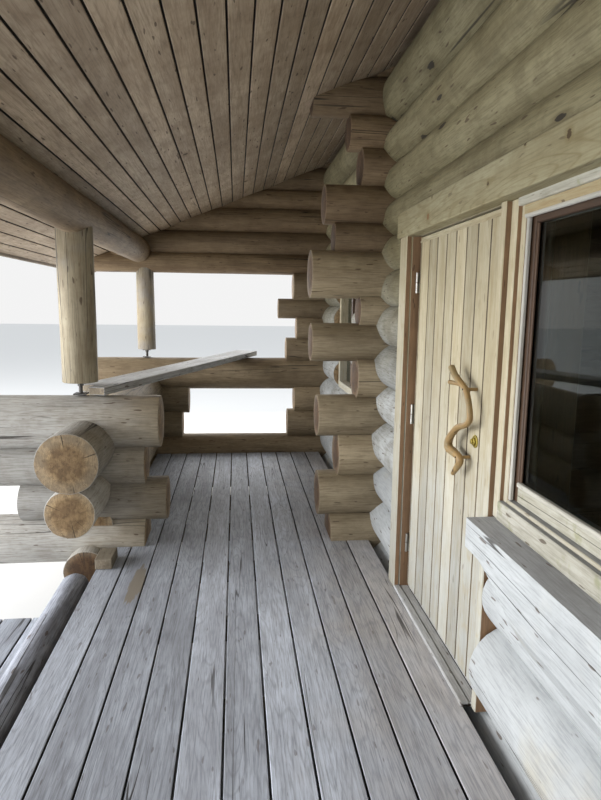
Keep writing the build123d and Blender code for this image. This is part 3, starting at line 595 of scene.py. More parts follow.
def corners(points):
    """Low and high corner of a set of points."""
    ranges = [spread(points, axis) for axis in range(3)]
    return Vector([r[0] for r in ranges]), Vector([r[1] for r in ranges])


def spread(points, axis):
    values = [p[axis] for p in points]
    return min(values), max(values)


def logs_of(node):
    """Each log of a node: the axis that it lies along, its line, height, radius and ends."""
    rods = []
    for points in islands(node):
        runs = [spread(points, axis) for axis in range(2)]
        along = 0 if runs[0][1] - runs[0][0] > runs[1][1] - runs[1][0] else 1
        across = runs[1 - along]
        edge = [p.z for p in points if min(p[1 - along] - across[0], across[1] - p[1 - along]) < 0.0004]
        rods.append([along, sum(across) / 2, (min(edge) + max(edge)) / 2, (across[1] - across[0]) / 2, *runs[along]])
    rods.sort()
    joined = []
    for rod in rods:
        last = joined[-1] if joined else None
        if (last and last[0] == rod[0] and abs(last[1] - rod[1]) < JOIN_ACROSS
                and abs(last[2] - rod[2]) < JOIN_UP and rod[4] - last[5] < JOIN_ALONG):
            last[5] = max(last[5], rod[5])
            last[3] = max(last[3], rod[3])
        else:
            joined.append(rod)
    return joined


# Making pieces

def finish_piece(bm, name, body, materials, replaces=(), smooth=None):
    """Turn a bmesh into a piece that rides on its body."""
    mesh = bpy.data.meshes.new(name)
    bm.to_mesh(mesh)
    bm.free()
    piece = bpy.data.objects.new(name, mesh)
    bpy.context.scene.collection.objects.link(piece)
    for key in materials:
        mesh.materials.append(MADE[key])
    if smooth:
        mesh.shade_smooth()
        mesh.set_sharp_from_angle(angle=math.radians(smooth))
    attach(piece, body)
    if replaces:
        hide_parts(*replaces)


def layers(bm):
    """The grain and tone layers that the wood materials read."""
    return (bm.verts.layers.float_vector.get("grain") or bm.verts.layers.float_vector.new("grain"),
            bm.verts.layers.float.get("tone") or bm.verts.layers.float.new("tone"))


def new_shape():
    """An empty bmesh that already has its grain and tone layers."""
    bm = bmesh.new()
    layers(bm)
    return bm


def edges_of(verts):
    return {e for v in verts for e in v.link_edges}


def faces_of(verts):
    return {f for v in verts for f in v.link_faces}


def ease(bm, verts, edges, width, segments):
    """Bevel some edges of a solid, and give the solid's corners as they then are."""
    done = bmesh.ops.bevel(bm, geom=edges, offset=width, affect="EDGES", segments=segments, profile=0.5, material=-1)
    return {v for v in verts if v.is_valid} | set(done["verts"])


def wander(value, seed):
    """A smooth value from -1 to 1, the same on each run."""
    return noise.noise(Vector((value, seed * 7.31, 2.7)))


def lay_log(bm, along, line, height, radius, start, end, seed, look=SKIN):
    """A round peeled log with a slightly wandering skin, eased rims and its own grain.

    It lies along X (0) or Y (1), or stands (2) with its line and height as its place in plan. Neighbours end at
    slightly different lengths, so that no two sawn ends share a plane."""
    grain, tone = layers(bm)
    own = sizes()
    sides = own.log_sides
    start, end = start + own.end_step * (seed % 4), end - own.end_step * (seed % 4)
    run = end - start
    made = set(bmesh.ops.create_cone(bm, cap_ends=True, segments=sides, radius1=radius, radius2=radius, depth=run,
                                     matrix=Matrix.Rotation(math.pi / sides, 4, "Z"))["verts"])
    edges = edges_of(made)
    rims = [e for e in edges if abs(e.verts[0].co.z - e.verts[1].co.z) < 1e-6]
    long_edges = [e for e in edges if e not in rims]
    steps = max(1, round(run / own.log_step))
    if steps > 1:
        inner = bmesh.ops.subdivide_edges(bm, edges=long_edges, cuts=steps - 1)["geom_inner"]
        made |= {g for g in inner if isinstance(g, bmesh.types.BMVert)}
    made = ease(bm, made, rims, own.end_bevel, 2)
    share = wander(seed, LOG_TONE)
    thin = own.log_taper * (0.5 + 0.5 * abs(share))
    for v in made:
        place = v.co.z / run + 0.5
        angle = math.atan2(v.co.y, v.co.x)
        wave = wander(v.co.z * 1.1 + 3 * math.cos(angle), seed)
        wave += 0.5 * wander(v.co.z * 2.3 + 2 * math.sin(angle), seed + 0.5)
        wave += 0.3 * wander(angle * 2.4 + v.co.z * 0.4, seed + 0.8)
        grow = 1 - thin * (place if share > 0 else 1 - place) - own.log_wobble * (1 + wave) / radius
        side, up = v.co.x * grow, v.co.y * grow
        v[grain] = (v.co.z + GRAIN_SHIFT * seed, side, up)
        v[tone] = share
        far = start + place * run
        v.co = ((far, line - side, height + up), (line + side, far, height + up),
                (line + side, height + up, far))[along]
    for face in faces_of(made):
        face.material_index = SAWN if len(face.verts) == sides else look
    return made


def trim(bm, verts, point, normal):
    """Saw a piece off on the side that normal points to, and close it."""
    verts = [v for v in verts if v.is_valid]
    done = bmesh.ops.bisect_plane(bm, geom=[*verts, *edges_of(verts), *faces_of(verts)], dist=1e-6, plane_co=point,
                                  plane_no=normal, clear_outer=True)
    rim = [g for g in done["geom_cut"] if isinstance(g, bmesh.types.BMEdge)]
    if rim:
        for face in bmesh.ops.holes_fill(bm, edges=rim)["faces"]:
            face.material_index = SKIN


def linked(vert):
    """Every corner of the solid that a corner belongs to."""
    found, stack = {vert}, [vert]
    while stack:
        for edge in stack.pop().link_edges:
            for other in edge.verts:
                if other not in found:
                    found.add(other)
                    stack.append(other)
    return found


def square_to(along, up):
    """Two directions square to a run: the one nearest to up, and the one across it."""
    up = Vector(up)
    up = (up - along * up.dot(along)).normalized()
    return up, up.cross(along)


def stick(bm, start, end, width, depth, up, seed, bevel=None, index=SKIN):
    """A squared board from one end to the other; up is the direction of its depth."""
    grain, tone = layers(bm)
    start, end = Vector(start), Vector(end)
    run = (end - start).length
    along = (end - start).normalized()
    up, side = square_to(along, up)
    made = set(bmesh.ops.create_cube(bm, size=1)["verts"])
    for v in made:
        v.co = (v.co.x * run, v.co.y * width, v.co.z * depth)
    if bevel:
        made = ease(bm, made, list(edges_of(made)), bevel, 1)
    for face in faces_of(made):
        face.material_index = index
    share = wander(seed, BOARD_TONE)
    middle = (start + end) / 2
    for v in made:
        v[grain] = (v.co.x + 5.7 * seed, v.co.y + 0.31 * seed, v.co.z + 0.17 * seed)
        v[tone] = share
        v.co = middle + along * v.co.x + side * v.co.y + up * v.co.z
    return made


def block(bm, low, high, seed, along=2, bevel=None, index=SKIN):
    """A squared piece that fills a box, with its grain along one axis."""
    low, high = Vector(low), Vector(high)
    start = (low + high) / 2
    end = start.copy()
    start[along], end[along] = low[along], high[along]
    size = high - low
    depth_axis = 2 if along != 2 else 0
    up = (1, 0, 0) if depth_axis == 0 else (0, 0, 1)
    return stick(bm, start, end, size[3 - along - depth_axis], size[depth_axis], up, seed, bevel, index)


def paint(verts, index, test):
    """Give the faces that pass a test on their normal another material."""
    for face in faces_of([v for v in verts if v.is_valid]):
        face.normal_update()
        if test(face.normal):
            face.material_index = index


def ring(bm, low, high, hole_low, hole_high, across, seed, bevel):
    """A frame of two uprights and two rails round a hole; across is the horizontal axis along the wall."""
    through = 1 - across
    made = []
    for side_low, side_high, z0, z1, axis in (
            (low[across], hole_low[across], low.z, high.z, 2), (hole_high[across], high[across], low.z, high.z, 2),
            (hole_low[across], hole_high[across], low.z, hole_low.z, across),
            (hole_low[across], hole_high[across], hole_high.z, high.z, across)):
        a, b = Vector((0, 0, z0)), Vector((0, 0, z1))
        a[across], b[across] = side_low, side_high
        a[through], b[through] = low[through], high[through]
        made.append(block(bm, a, b, seed + len(made), axis, bevel))
    return made


def hole_of(points, across):
    """Box of the hole through a frame, from its inner corners."""
    low, high = corners(points)
    return corners([p for p in points if low[across] + 0.002 < p[across] < high[across] - 0.002
                    and low.z + 0.002 < p.z < high.z - 0.002])


def eased(node, width, segments=1):
    """A copy of a node's solids with its flat faces joined and its sharp edges eased."""
    bm = merged(node)
    bmesh.ops.dissolve_limit(bm, angle_limit=math.radians(0.5), verts=bm.verts, edges=bm.edges)
    bm.normal_update()
    sharp = [e for e in bm.edges if len(e.link_faces) == 2 and e.calc_face_angle(0) > math.radians(SHARP)]
    bmesh.ops.bevel(bm, geom=sharp, offset=width, affect="EDGES", segments=segments, profile=0.5, material=-1,
                    clamp_overlap=True)
    return bm


def grained(bm, seed):
    """Give each solid its own grain along its longest edge, and its sawn ends their material."""
    grain, tone = layers(bm)
    bm.normal_update()
    for i, part in enumerate(parts_of(bm)):
        edge = max(edges_of(part), key=lambda e: round(e.calc_length(), 4))
        along = (edge.verts[1].co - edge.verts[0].co).normalized()
        up, side = square_to(along, (1, 0, 0) if abs(along.z) > 0.7 else (0, 0, 1))
        low, high = corners([v.co for v in part])
        middle = (low + high) / 2
        for v in part:
            p = v.co - middle
            v[grain] = (p.dot(along) + GRAIN_SHIFT * (seed + i), p.dot(side), p.dot(up))
            v[tone] = wander(seed + i, LOG_TONE)
        for face in faces_of(part):
            if abs(face.normal.dot(along)) > 0.95:
                face.material_index = SAWN
    return bm


def sweep(bm, points, sides, seed):
    """A bent branch through points with a radius each, closed at both ends."""
    grain = layers(bm)[0]
    ring_verts = list(bmesh.ops.create_circle(bm, cap_ends=True, segments=sides, radius=1)["verts"])
    everything, run = set(ring_verts), 0.0
    edges = list(edges_of(ring_verts))
    places = [Vector(p[:3]) for p in points]
    shapes = [(v.co.x, v.co.y) for v in ring_verts]
    for i, (place, point) in enumerate(zip(places, points)):
        if i:
            geom = bmesh.ops.extrude_edge_only(bm, edges=edges)["geom"]
            ring_verts = [g for g in geom if isinstance(g, bmesh.types.BMVert)]
            edges = [g for g in geom if isinstance(g, bmesh.types.BMEdge) and all(v in ring_verts for v in g.verts)]
            run += (place - places[i - 1]).length
            order = {v: min(range(sides), key=lambda k: (v.co - last[k]).length) for v in ring_verts}
            ring_verts = sorted(ring_verts, key=lambda v: order[v])
            everything |= set(ring_verts)
        along = (places[min(i + 1, len(places) - 1)] - places[max(i - 1, 0)]).normalized()
        side = (Vector((1, 0, 0)) - along * along.x).normalized()
        up = along.cross(side)
        for v, (x, y) in zip(ring_verts, shapes):
            lump = 1 + 0.07 * wander(3 * x + run * 20, seed) + 0.05 * wander(3 * y + run * 45, seed + 1)
            v[grain] = (run + seed * 3.3, x * point[3], y * point[3])
            v.co = place + (side * x + up * y) * point[3] * lump
        last = [v.co.copy() for v in ring_verts]
    bmesh.ops.contextual_create(bm, geom=edges)
    bmesh.ops.recalc_face_normals(bm, faces=list(faces_of(everything)))


def smooth_line(points, between):
    """More points on a soft curve through the given ones, with their radii."""
    line = []
    for i in range(len(points) - 1):
        four = [Vector(points[min(max(k, 0), len(points) - 1)]) for k in (i - 1, i, i + 1, i + 2)]
        for step in range(between):
            t = step / between
            line.append(tuple(0.5 * ((2 * four[1]) + (four[2] - four[0]) * t
                              + (2 * four[0] - 5 * four[1] + 4 * four[2] - four[3]) * t ** 2
                              + (3 * four[1] - four[0] - 3 * four[2] + four[3]) * t ** 3)))
    line.append(tuple(points[-1]))
    return line


def rod(bm, start, end, radius, sides=24, bevel=0.0008, index=SKIN):
    """A turned pin or disc between two points."""
    start, end = Vector(start), Vector(end)
    turn = (end - start).to_track_quat("Z", "Y").to_matrix().to_4x4()
    place = Matrix.Translation((start + end) / 2) @ turn
    made = set(bmesh.ops.create_cone(bm, cap_ends=True, segments=sides, radius1=radius, radius2=radius,
                                     depth=(end - start).length, matrix=place)["verts"])
    rims = [e for e in edges_of(made) if any(len(f.verts) == sides for f in e.link_faces)]
    for face in faces_of(ease(bm, made, rims, bevel, 2)):
        face.material_index = index


# The stage, its lights and its camera

def lamp(name, place, aim, size, watts):
    """A soft lamp that looks at a point."""
    light = bpy.data.lights.new(name, "AREA")
    light.shape = "RECTANGLE"
    light.size, light.size_y = size
    light.energy = watts
    made = bpy.data.objects.new(name, light)
    bpy.context.scene.collection.objects.link(made)
    made.location = place
    made.rotation_mode = "QUATERNION"
    made.rotation_quaternion = (Vector(aim) - Vector(place)).to_track_quat("-Z", "Y")


class CABIN_OT_stage(bpy.types.Operator):
    """Pale floor, soft studio light and the camera on the veranda"""
    bl_idname = "cabin.stage"
    bl_label = "Stage"

    def execute(self, context):
        scene = context.scene
        scene.view_settings.view_transform = "Standard"
        low, high = CAD_BOX
        floor_mesh = bpy.data.meshes.new("floor")
        bm = bmesh.new()
        bmesh.ops.create_grid(bm, x_segments=1, y_segments=1, size=60)
        bm.to_mesh(floor_mesh)
        bm.free()
        floor = bpy.data.objects.new("floor", floor_mesh)
        scene.collection.objects.link(floor)
        floor.location.z = low.z - 0.001
        pale, w, shader = material("pale_floor", 0.9)
        w.feed(shader["Base Color"], (0.78, 0.78, 0.78))
        floor_mesh.materials.append(pale)

        world = bpy.data.worlds.new("studio")
        scene.world = world
        world.use_nodes = True
        w = Wires(world.node_tree)
        back = world.node_tree.nodes["Background"]
        rays = w.node("LightPath", {}).outputs
        seen = w.math("MAXIMUM", w.math("MAXIMUM", rays["Is Camera Ray"], rays["Is Glossy Ray"]),
                      rays["Is Transmission Ray"])
        w.feed(back.inputs["Color"], w.mix(seen, (0.93, 0.97, 1.0), (0.90, 0.90, 0.90)))
        w.feed(back.inputs["Strength"], w.scaled(seen, 0.1, 0.9))

        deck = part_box("deck_boards")
        eye = Vector((deck[0].x, deck[0].y, deck[1].z)) + Vector(CAMERA_FROM_DECK)
        lamp("open_side", (low.x - 8.5, eye.y + 2.5, 4.0), (deck[1].x, eye.y + 2.5, 1.2), (13.0, 4.5), 2050)
        lamp("ground_light", (low.x - 3.0, eye.y + 2.5, 0.25), (deck[0].x + 0.7, eye.y + 2.5, 3.0), (9.0, 2.0), 170)
        lamp("far_end", (deck[0].x + 0.6, high.y + 4.0, 2.4), (deck[0].x + 0.8, eye.y, 1.4), (4.0, 3.0), 280)
        lamp("near_end", (deck[0].x + 0.6, low.y - 3.0, 2.2), (deck[0].x + 0.8, eye.y + 2, 1.2), (4.0, 3.0), 190)
        lamp("sky", ((low.x + high.x) / 2, (low.y + high.y) / 2, high.z + 7), (0, 0, 0), (12, 12), 600)
        lamp("back_side", (high.x + 7, 0, 5), (0, 0, 1), (9, 6), 520)

        yaw, pitch, roll = (math.radians(a) for a in (CAMERA_YAW, CAMERA_PITCH, CAMERA_ROLL))
        ahead = Vector((math.sin(yaw) * math.cos(pitch), math.cos(yaw) * math.cos(pitch), math.sin(pitch)))
        level = Vector((math.cos(yaw), -math.sin(yaw), 0))
        upright = level.cross(ahead)
        right = math.cos(roll) * level + math.sin(roll) * upright
        up = -math.sin(roll) * level + math.cos(roll) * upright
        lens = bpy.data.cameras.new("camera")
        lens.lens = CAMERA_LENS
        lens.sensor_width = 36
        lens.clip_start = 0.02
        camera = bpy.data.objects.new("camera", lens)
        scene.collection.objects.link(camera)
        camera.matrix_world = Matrix.Translation(eye) @ Matrix((right, up, -ahead)).transposed().to_4x4()
        scene.camera = camera
        return {"FINISHED"}


# Round logs by slot; each log takes the next seed, so the order of the nodes counts
LOG_NODES = {
    "wall_logs": ("front_wall_base", "front_wall_near", "front_wall_far", "front_wall_top", "back_wall",
                  "near_gable_wall", "near_gable_top", "far_gable_wall", "far_gable_top"),
    "veranda_logs": ("cross_wall", "cross_wall_top", "corner_rail_logs", "side_rail_logs", "end_rail_stubs",
                     "veranda_purlin", "roof_purlins"),
}
LOG_SKINS = {"wall_logs": "wall", "veranda_logs": "veranda"}
BEAM_NODES = ("far_gable_top", "near_gable_top", "veranda_purlin", "roof_purlins", "cross_wall_top")
LOW_COURSE = 0.1
SCRIBE_GAP = 0.0005

# Materials of a log piece by number: its skin, its sawn ends, the low courses, and the sawn ends that face the wall
# or lie below the deck, painted darker brown as shade
LOW, SHADED_ENDS = 2, 3

# Squared pieces: slot, material, width of the eased edges and seed
SAWN_NODES = {
    "rail_plank": ("weathered_wood", "plank", 0.004, 800), "wood_block": ("weathered_wood", "rough", 0.004, 810),
    "veranda_sill_log": ("weathered_wood", "rough", 0.006, 820), "deck_joists": ("deck_wood", "rough", 0.003, 830),
    "cabin_floor": ("floor_wood", "inner", 0.002, 850), "floor_beams": ("floor_wood", "rough", 0.003, 860),
    "barge_boards": ("soffit_wood", "fascia", 0.004, 870), "eave_boards": ("soffit_wood", "fascia", 0.004, 880),
}

# Pieces that keep the frame's own mesh
FINISHES = {
    "roof_core": "dark_gap", "ridge_cap": "roof_felt", "wide_window_glass": "window_glass",
    "small_window_glass": "window_glass", "pier_blocks": "pier_block",
}

# Soffit boards: thickness, height of their middle above the frame's underside, and the narrowest one kept
SOFFIT_THICK = 0.0198
SOFFIT_MIDDLE = 0.0101
SOFFIT_LEAST = 0.02

# Strips of roofing: greatest length down the slope, lap and thickness, how far their middle lies under the
# frame's top, and how much lower the upper end and higher the foot
FELT_STRIP = 0.95
FELT_LAP = 0.05
FELT_THICK = 0.0055
FELT_SINK = 0.0042
FELT_TILT = (0.0015, 0.0005)

# Levelling screws under the posts: radius, pitch and depth of the thread, thickness of a plate, height of a nut
SCREW_R = 0.012
THREAD = 0.006
THREAD_OUT = 0.0012
PLATE = 0.008
NUT = 0.018

# Branch handle, from the lock edge and foot of the door: stand-off, across, up and radius
HANDLE = [(0.058, 0.319, 1.281, 0.0137), (0.056, 0.280, 1.253, 0.0135), (0.052, 0.231, 1.230, 0.0132),
          (0.048, 0.179, 1.207, 0.0122), (0.048, 0.145, 1.170, 0.0121), (0.050, 0.119, 1.131, 0.0120),
          (0.050, 0.117, 1.094, 0.0124), (0.050, 0.161, 1.067, 0.0122), (0.052, 0.227, 1.046, 0.0134),
          (0.054, 0.279, 1.010, 0.0149), (0.054, 0.321, 0.968, 0.0173), (0.052, 0.318, 0.940, 0.0186),
          (0.048, 0.267, 0.932, 0.0174), (0.046, 0.214, 0.924, 0.0158), (0.046, 0.204, 0.906, 0.0146),
          (0.046, 0.235, 0.874, 0.0132), (0.046, 0.271, 0.841, 0.0100)]
HANDLE_FORK = [(0.060, 0.324, 1.218, 0.0096), (0.057, 0.267, 1.221, 0.0086), (0.052, 0.217, 1.221, 0.0092)]
HANDLE_PINS = (3, 13)
PIN_R = 0.007
PIN_HEAD_R = 0.004

# Steps of the lock disc: how far out from the door (None is the frame's own front), share of the radius, sides
# and eased rim
LOCK_STEPS = ((0.005, 1.0, 40, 0.002), (0.013, 0.62, 32, 0.003), (None, 0.4, 32, 0.003))

# Door: corner lines nearer than this share a joint, half a joint's open width, how far the backing lies within the
# leaf, and how far the drip strip stands out, and reaches below and above the boards' top
JOINT = 0.008
JOINT_HALF = 0.0008
BACKING_X, BACKING_YZ = 0.004, 0.006
DRIP_OUT, DRIP_DOWN, DRIP_UP = 0.004, 0.006, 0.004

# Threshold: the first ledge, how far the second one reaches past it, the grooves, and the bed's depth
LEDGE = 0.035
LEDGE_NEXT = 0.045
GROOVE = 0.004
BED_DOWN = 0.010

# Wide window: height of the head board above the opening, then how far boards stand out of the frame and are
# let into it, and the beads, sill and sash foot
HEAD_UP = 0.030
HEAD_OUT = 0.016
STRIP_OUT = 0.005
LET_IN = 0.002
BEAD_IN = 0.004
BEAD_R = 0.009
BEAD_WIDTH = 0.014
SILL_OUT = 0.022
SILL_DOWN = 0.012
SASH_FOOT = 0.03
SASH_LIP = 0.012


def slopes_of(node, side):
    """A point on the upper (1) or lower (-1) face of each roof slope, with its upward normal."""
    bm = merged(node)
    bm.normal_update()
    found = {}
    for face in bm.faces:
        normal = face.normal * side
        if normal.z > 0.5:
            found["front" if normal.x < 0 else "back"] = (face.verts[0].co.copy(), normal)
    bm.free()
    return found


def down_slope(slope, point, normal, low, high):
    """The direction down a slope, its point at the ridge and its length, for a roof between two corners."""
    ridge_x = (low.x + high.x) / 2
    down = Vector((-normal.z, 0, normal.x)) if slope == "front" else Vector((normal.z, 0, -normal.x))
    ridge = Vector((ridge_x, 0, point.z + (point.x - ridge_x) * normal.x / normal.z))
    return down, ridge, (ridge_x - low.x) / abs(normal.z)


def longest(low, high, axes):
    """The axis along which a box is longest, or the first of them where they are alike."""
    return max(axes, key=lambda axis: high[axis] - low[axis])


class CABIN_OT_logs(bpy.types.Operator):
    """Round peeled logs of the walls, rails, ties and purlins, scribed under the roof"""
    bl_idname = "cabin.logs"
    bl_label = "Logs"

    def execute(self, context):
        planes = slopes_of("soffit_boards", -1).values()
        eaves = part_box("soffit_boards")[0].z
        low_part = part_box("window_shelf_log")[0].z
        deck_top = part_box("deck_boards")[1].z
        seed = 1
        for slot, nodes in LOG_NODES.items():
            for node in nodes:
                bm = new_shape()
                for along, line, height, radius, start, end in logs_of(node):
                    look = LOW if node == "front_wall_base" and height < low_part + LOW_COURSE else SKIN
                    verts = lay_log(bm, along, line, height, radius, start, end, seed, look)
                    for point, normal in planes if height + radius > eaves else ():
                        trim(bm, linked(next(v for v in verts if v.is_valid)), point - normal * SCRIBE_GAP, normal)
                        verts = {v for v in verts if v.is_valid}
                    seed += 1
                # Sawn ends of the veranda logs that face the wall or lie below the deck top take the darker brown
                # end, as painted shade
                if slot == "veranda_logs":
                    bm.normal_update()
                    for face in bm.faces:
                        if face.material_index == SAWN and (face.normal.x > FACING
                                                            or face.calc_center_median().z < deck_top):
                            face.material_index = SHADED_ENDS
                skin = "beam" if node in BEAM_NODES else LOG_SKINS[slot]
                if node.endswith("gable_wall"):
                    skin = "gable"
                finish_piece(bm, node + "_round", "cabin", (skin, "end", "low_wall", "shaded_end"), (node,),
                             ROUND)
        return {"FINISHED"}


class CABIN_OT_shelf_log(bpy.types.Operator):
    """The thick log under the wide window, sawn flat on top and in front"""
    bl_idname = "cabin.shelf_log"
    bl_label = "Shelf log"

    def execute(self, context):
        bm = grained(eased("window_shelf_log", 0.004, 2), 83)
        paint(bm.verts, 2, lambda n: n.z > FACING)
        finish_piece(bm, "shelf_log_sawn", "cabin", ("low_wall", "end", "shelf_top"),
                     ("window_shelf_log",), smooth=38)
        return {"FINISHED"}


class CABIN_OT_soffit(bpy.types.Operator):
    """Narrow boards along both roof slopes, with their sides painted dark as shade in the gaps between them"""
    bl_idname = "cabin.soffit"
    bl_label = "Soffit boards"

    def execute(self, context):
        own = sizes()
        low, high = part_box("soffit_boards")
        bm = new_shape()
        seed = 300
        for slope, (point, normal) in slopes_of("soffit_boards", -1).items():
            down, ridge, total = down_slope(slope, point, normal, low, high)
            for i in range(int(total / own.soffit_pitch) + 1):
                near = total - i * own.soffit_pitch
                far = max(near - own.soffit_pitch + own.soffit_gap, 0.0)
                if near - far < SOFFIT_LEAST:
                    continue
                centre = ridge + down * (near + far) / 2 + normal * SOFFIT_MIDDLE
                verts = stick(bm, (centre.x, low.y, centre.z), (centre.x, high.y, centre.z), near - far - 0.001,
                              SOFFIT_THICK, normal, seed, own.board_bevel)
                # The board sides in the gaps are painted dark, as painted shade
                paint(verts, 1, lambda n: abs(n.dot(down)) > FACING)
                seed += 1
        finish_piece(bm, "soffit_lining", "cabin", ("soffit", "gap"), ("soffit_boards",))
        return {"FINISHED"}


class CABIN_OT_deck(bpy.types.Operator):
    """Grey deck boards with eased edges, and the boards of the landing"""
    bl_idname = "cabin.deck"
    bl_label = "Deck"

    def execute(self, context):
        for node, seed in (("deck_boards", 420), ("entry_landing", 440)):
            bm = new_shape()
            for i, points in enumerate(islands(node)):
                low, high = corners(points)
                verts = block(bm, low, high, seed + i, longest(low, high, (1, 0)), sizes().deck_ease)
                # The board sides towards the gaps, on the deck and the landing, are painted dark as shade
                paint(verts, 1, lambda n: abs(n.x) > FACING)
            finish_piece(bm, node + "_grained", "cabin", ("deck", "gap"), (node,))
        return {"FINISHED"}


class CABIN_OT_posts(bpy.types.Operator):
    """Round posts with long drying cracks, on threaded screws between two plates"""
    bl_idname = "cabin.posts"
    bl_label = "Posts and screws"

    def execute(self, context):
        bm = new_shape()
        for i, points in enumerate(islands("veranda_posts")):
            low, high = corners(points)
            lay_log(bm, 2, (low.x + high.x) / 2, (low.y + high.y) / 2, (high.x - low.x) / 2, low.z, high.z, 620 + i)
        finish_piece(bm, "posts_round", "cabin", ("post", "end"), ("veranda_posts",), ROUND)
        bm = new_shape()
        for points in islands("post_screws"):
            low, high = corners(points)
            x, y = (low.x + high.x) / 2, (low.y + high.y) / 2
            rod(bm, (x, y, low.z), (x, y, high.z), SCREW_R)
            for turn in range(int((high.z - low.z - 2 * PLATE) / THREAD)):
                z = low.z + PLATE + turn * THREAD
                rod(bm, (x, y, z + THREAD * 0.25), (x, y, z + THREAD * 0.75), SCREW_R + THREAD_OUT, 16, 0.0004)
            block(bm, low, (high.x, high.y, low.z + PLATE), 1, 2, 0.001)
            block(bm, (low.x, low.y, high.z - PLATE), high, 1, 2, 0.001)
            rod(bm, (x, y, high.z - PLATE - NUT), (x, y, high.z - PLATE), SCREW_R * 1.6, 6, 0.0006)
        finish_piece(bm, "screws_threaded", "cabin", ("dark_steel",), ("post_screws",), smooth=30)
        return {"FINISHED"}


def door_boards(low, high):
    """Uneven boards under a top rail with a drip strip; a dark backing shows in the joints, and the board sides and
    the rail's underside are painted darker, all as painted shade.
    """
    own = sizes()
    bm = merged("door_leaf")
    inner = [v.co for v in bm.verts if low.x + 0.005 < v.co.x < high.x - 0.002 and low.y < v.co.y < high.y]
    joints = sorted({round(p.y, 4) for p in inner if low.y + 0.01 < p.y < high.y - 0.01})
    top = max(p.z for p in inner)
    bm.free()
    joints = [y for k, y in enumerate(joints) if not k or y - joints[k - 1] > JOINT]
    bm = new_shape()
    for i, (y0, y1) in enumerate(zip([low.y, *joints], [*joints, high.y])):
        verts = block(bm, (low.x, y0 + JOINT_HALF, low.z), (high.x, y1 - JOINT_HALF, top), 500 + i, 2, own.door_ease)
        # Board sides in the joints are painted darker, as painted shade
        paint(verts, 2, lambda n: abs(n.y) > 0.5)
    # Dark backing that shows in the joints, as painted shade
    block(bm, (low.x + BACKING_X, low.y + BACKING_YZ, low.z + BACKING_YZ),
          (high.x - BACKING_X, high.y - BACKING_YZ, top), 517, 2, None, 1)
    # The top rail's underside is painted darker, as painted shade
    paint(block(bm, (low.x, low.y, top), high, 515, 1, own.board_bevel), 2, lambda n: n.z < -0.5)
    block(bm, (low.x - DRIP_OUT, low.y, top - DRIP_DOWN), (low.x, high.y, top + DRIP_UP), 516, 1, 0.0015)
    finish_piece(bm, "door_boards", "door", ("door", "gap", "joint"), ("door_leaf",))


def branch_handle(low):
    """The bent branch with its fork, on two pins with dark heads."""
    bm = new_shape()
    for points, sides, seed in ((HANDLE, 16, 530), (HANDLE_FORK, 12, 540)):
        branch = [(low.x - off, low.y + y, low.z + z, radius) for off, y, z, radius in points]
        sweep(bm, smooth_line(branch, 4), sides, seed)
    for k in HANDLE_PINS:
        off, y, z, radius = HANDLE[k]
        x, y, z = Vector((low.x - off, low.y + y, low.z + z))
        rod(bm, (low.x, y, z), (x, y, z), PIN_R, 16)
        rod(bm, (x, y, z), (x - radius - 0.001, y, z), PIN_HEAD_R, 12, 0.0006, 1)
    finish_piece(bm, "branch_handle", "door", ("branch", "dark_gap"), ("door_handle",), smooth=60)


def lock_disc(low):
    """The stepped disc of the lock."""
    knob_low, knob_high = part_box("door_knob")
    y, z = (knob_low.y + knob_high.y) / 2, (knob_low.z + knob_high.z) / 2
    radius = (knob_high.z - knob_low.z) / 2
    bm = new_shape()
    start = low.x
    for out, share, sides, rim in LOCK_STEPS:
        end = knob_low.x if out is None else low.x - out
        rod(bm, (start, y, z), (end, y, z), radius * share, sides, rim)
        start = end
    finish_piece(bm, "lock_disc", "door", ("brass",), ("door_knob",), smooth=30)


class CABIN_OT_door(bpy.types.Operator):
    """Door of uneven boards under a top rail, with its branch handle, lock disc and hinges"""
    bl_idname = "cabin.door"
    bl_label = "Door"

    def execute(self, context):
        low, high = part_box("door_leaf")
        door_boards(low, high)
        branch_handle(low)
        lock_disc(low)
        for node, body in (("hinge_jamb_halves", "cabin"), ("hinge_leaf_halves", "door")):
            bm = eased(node, 0.0006)
            layers(bm)
            finish_piece(bm, node + "_eased", body, ("bright_steel",), (node,), smooth=30)
        return {"FINISHED"}


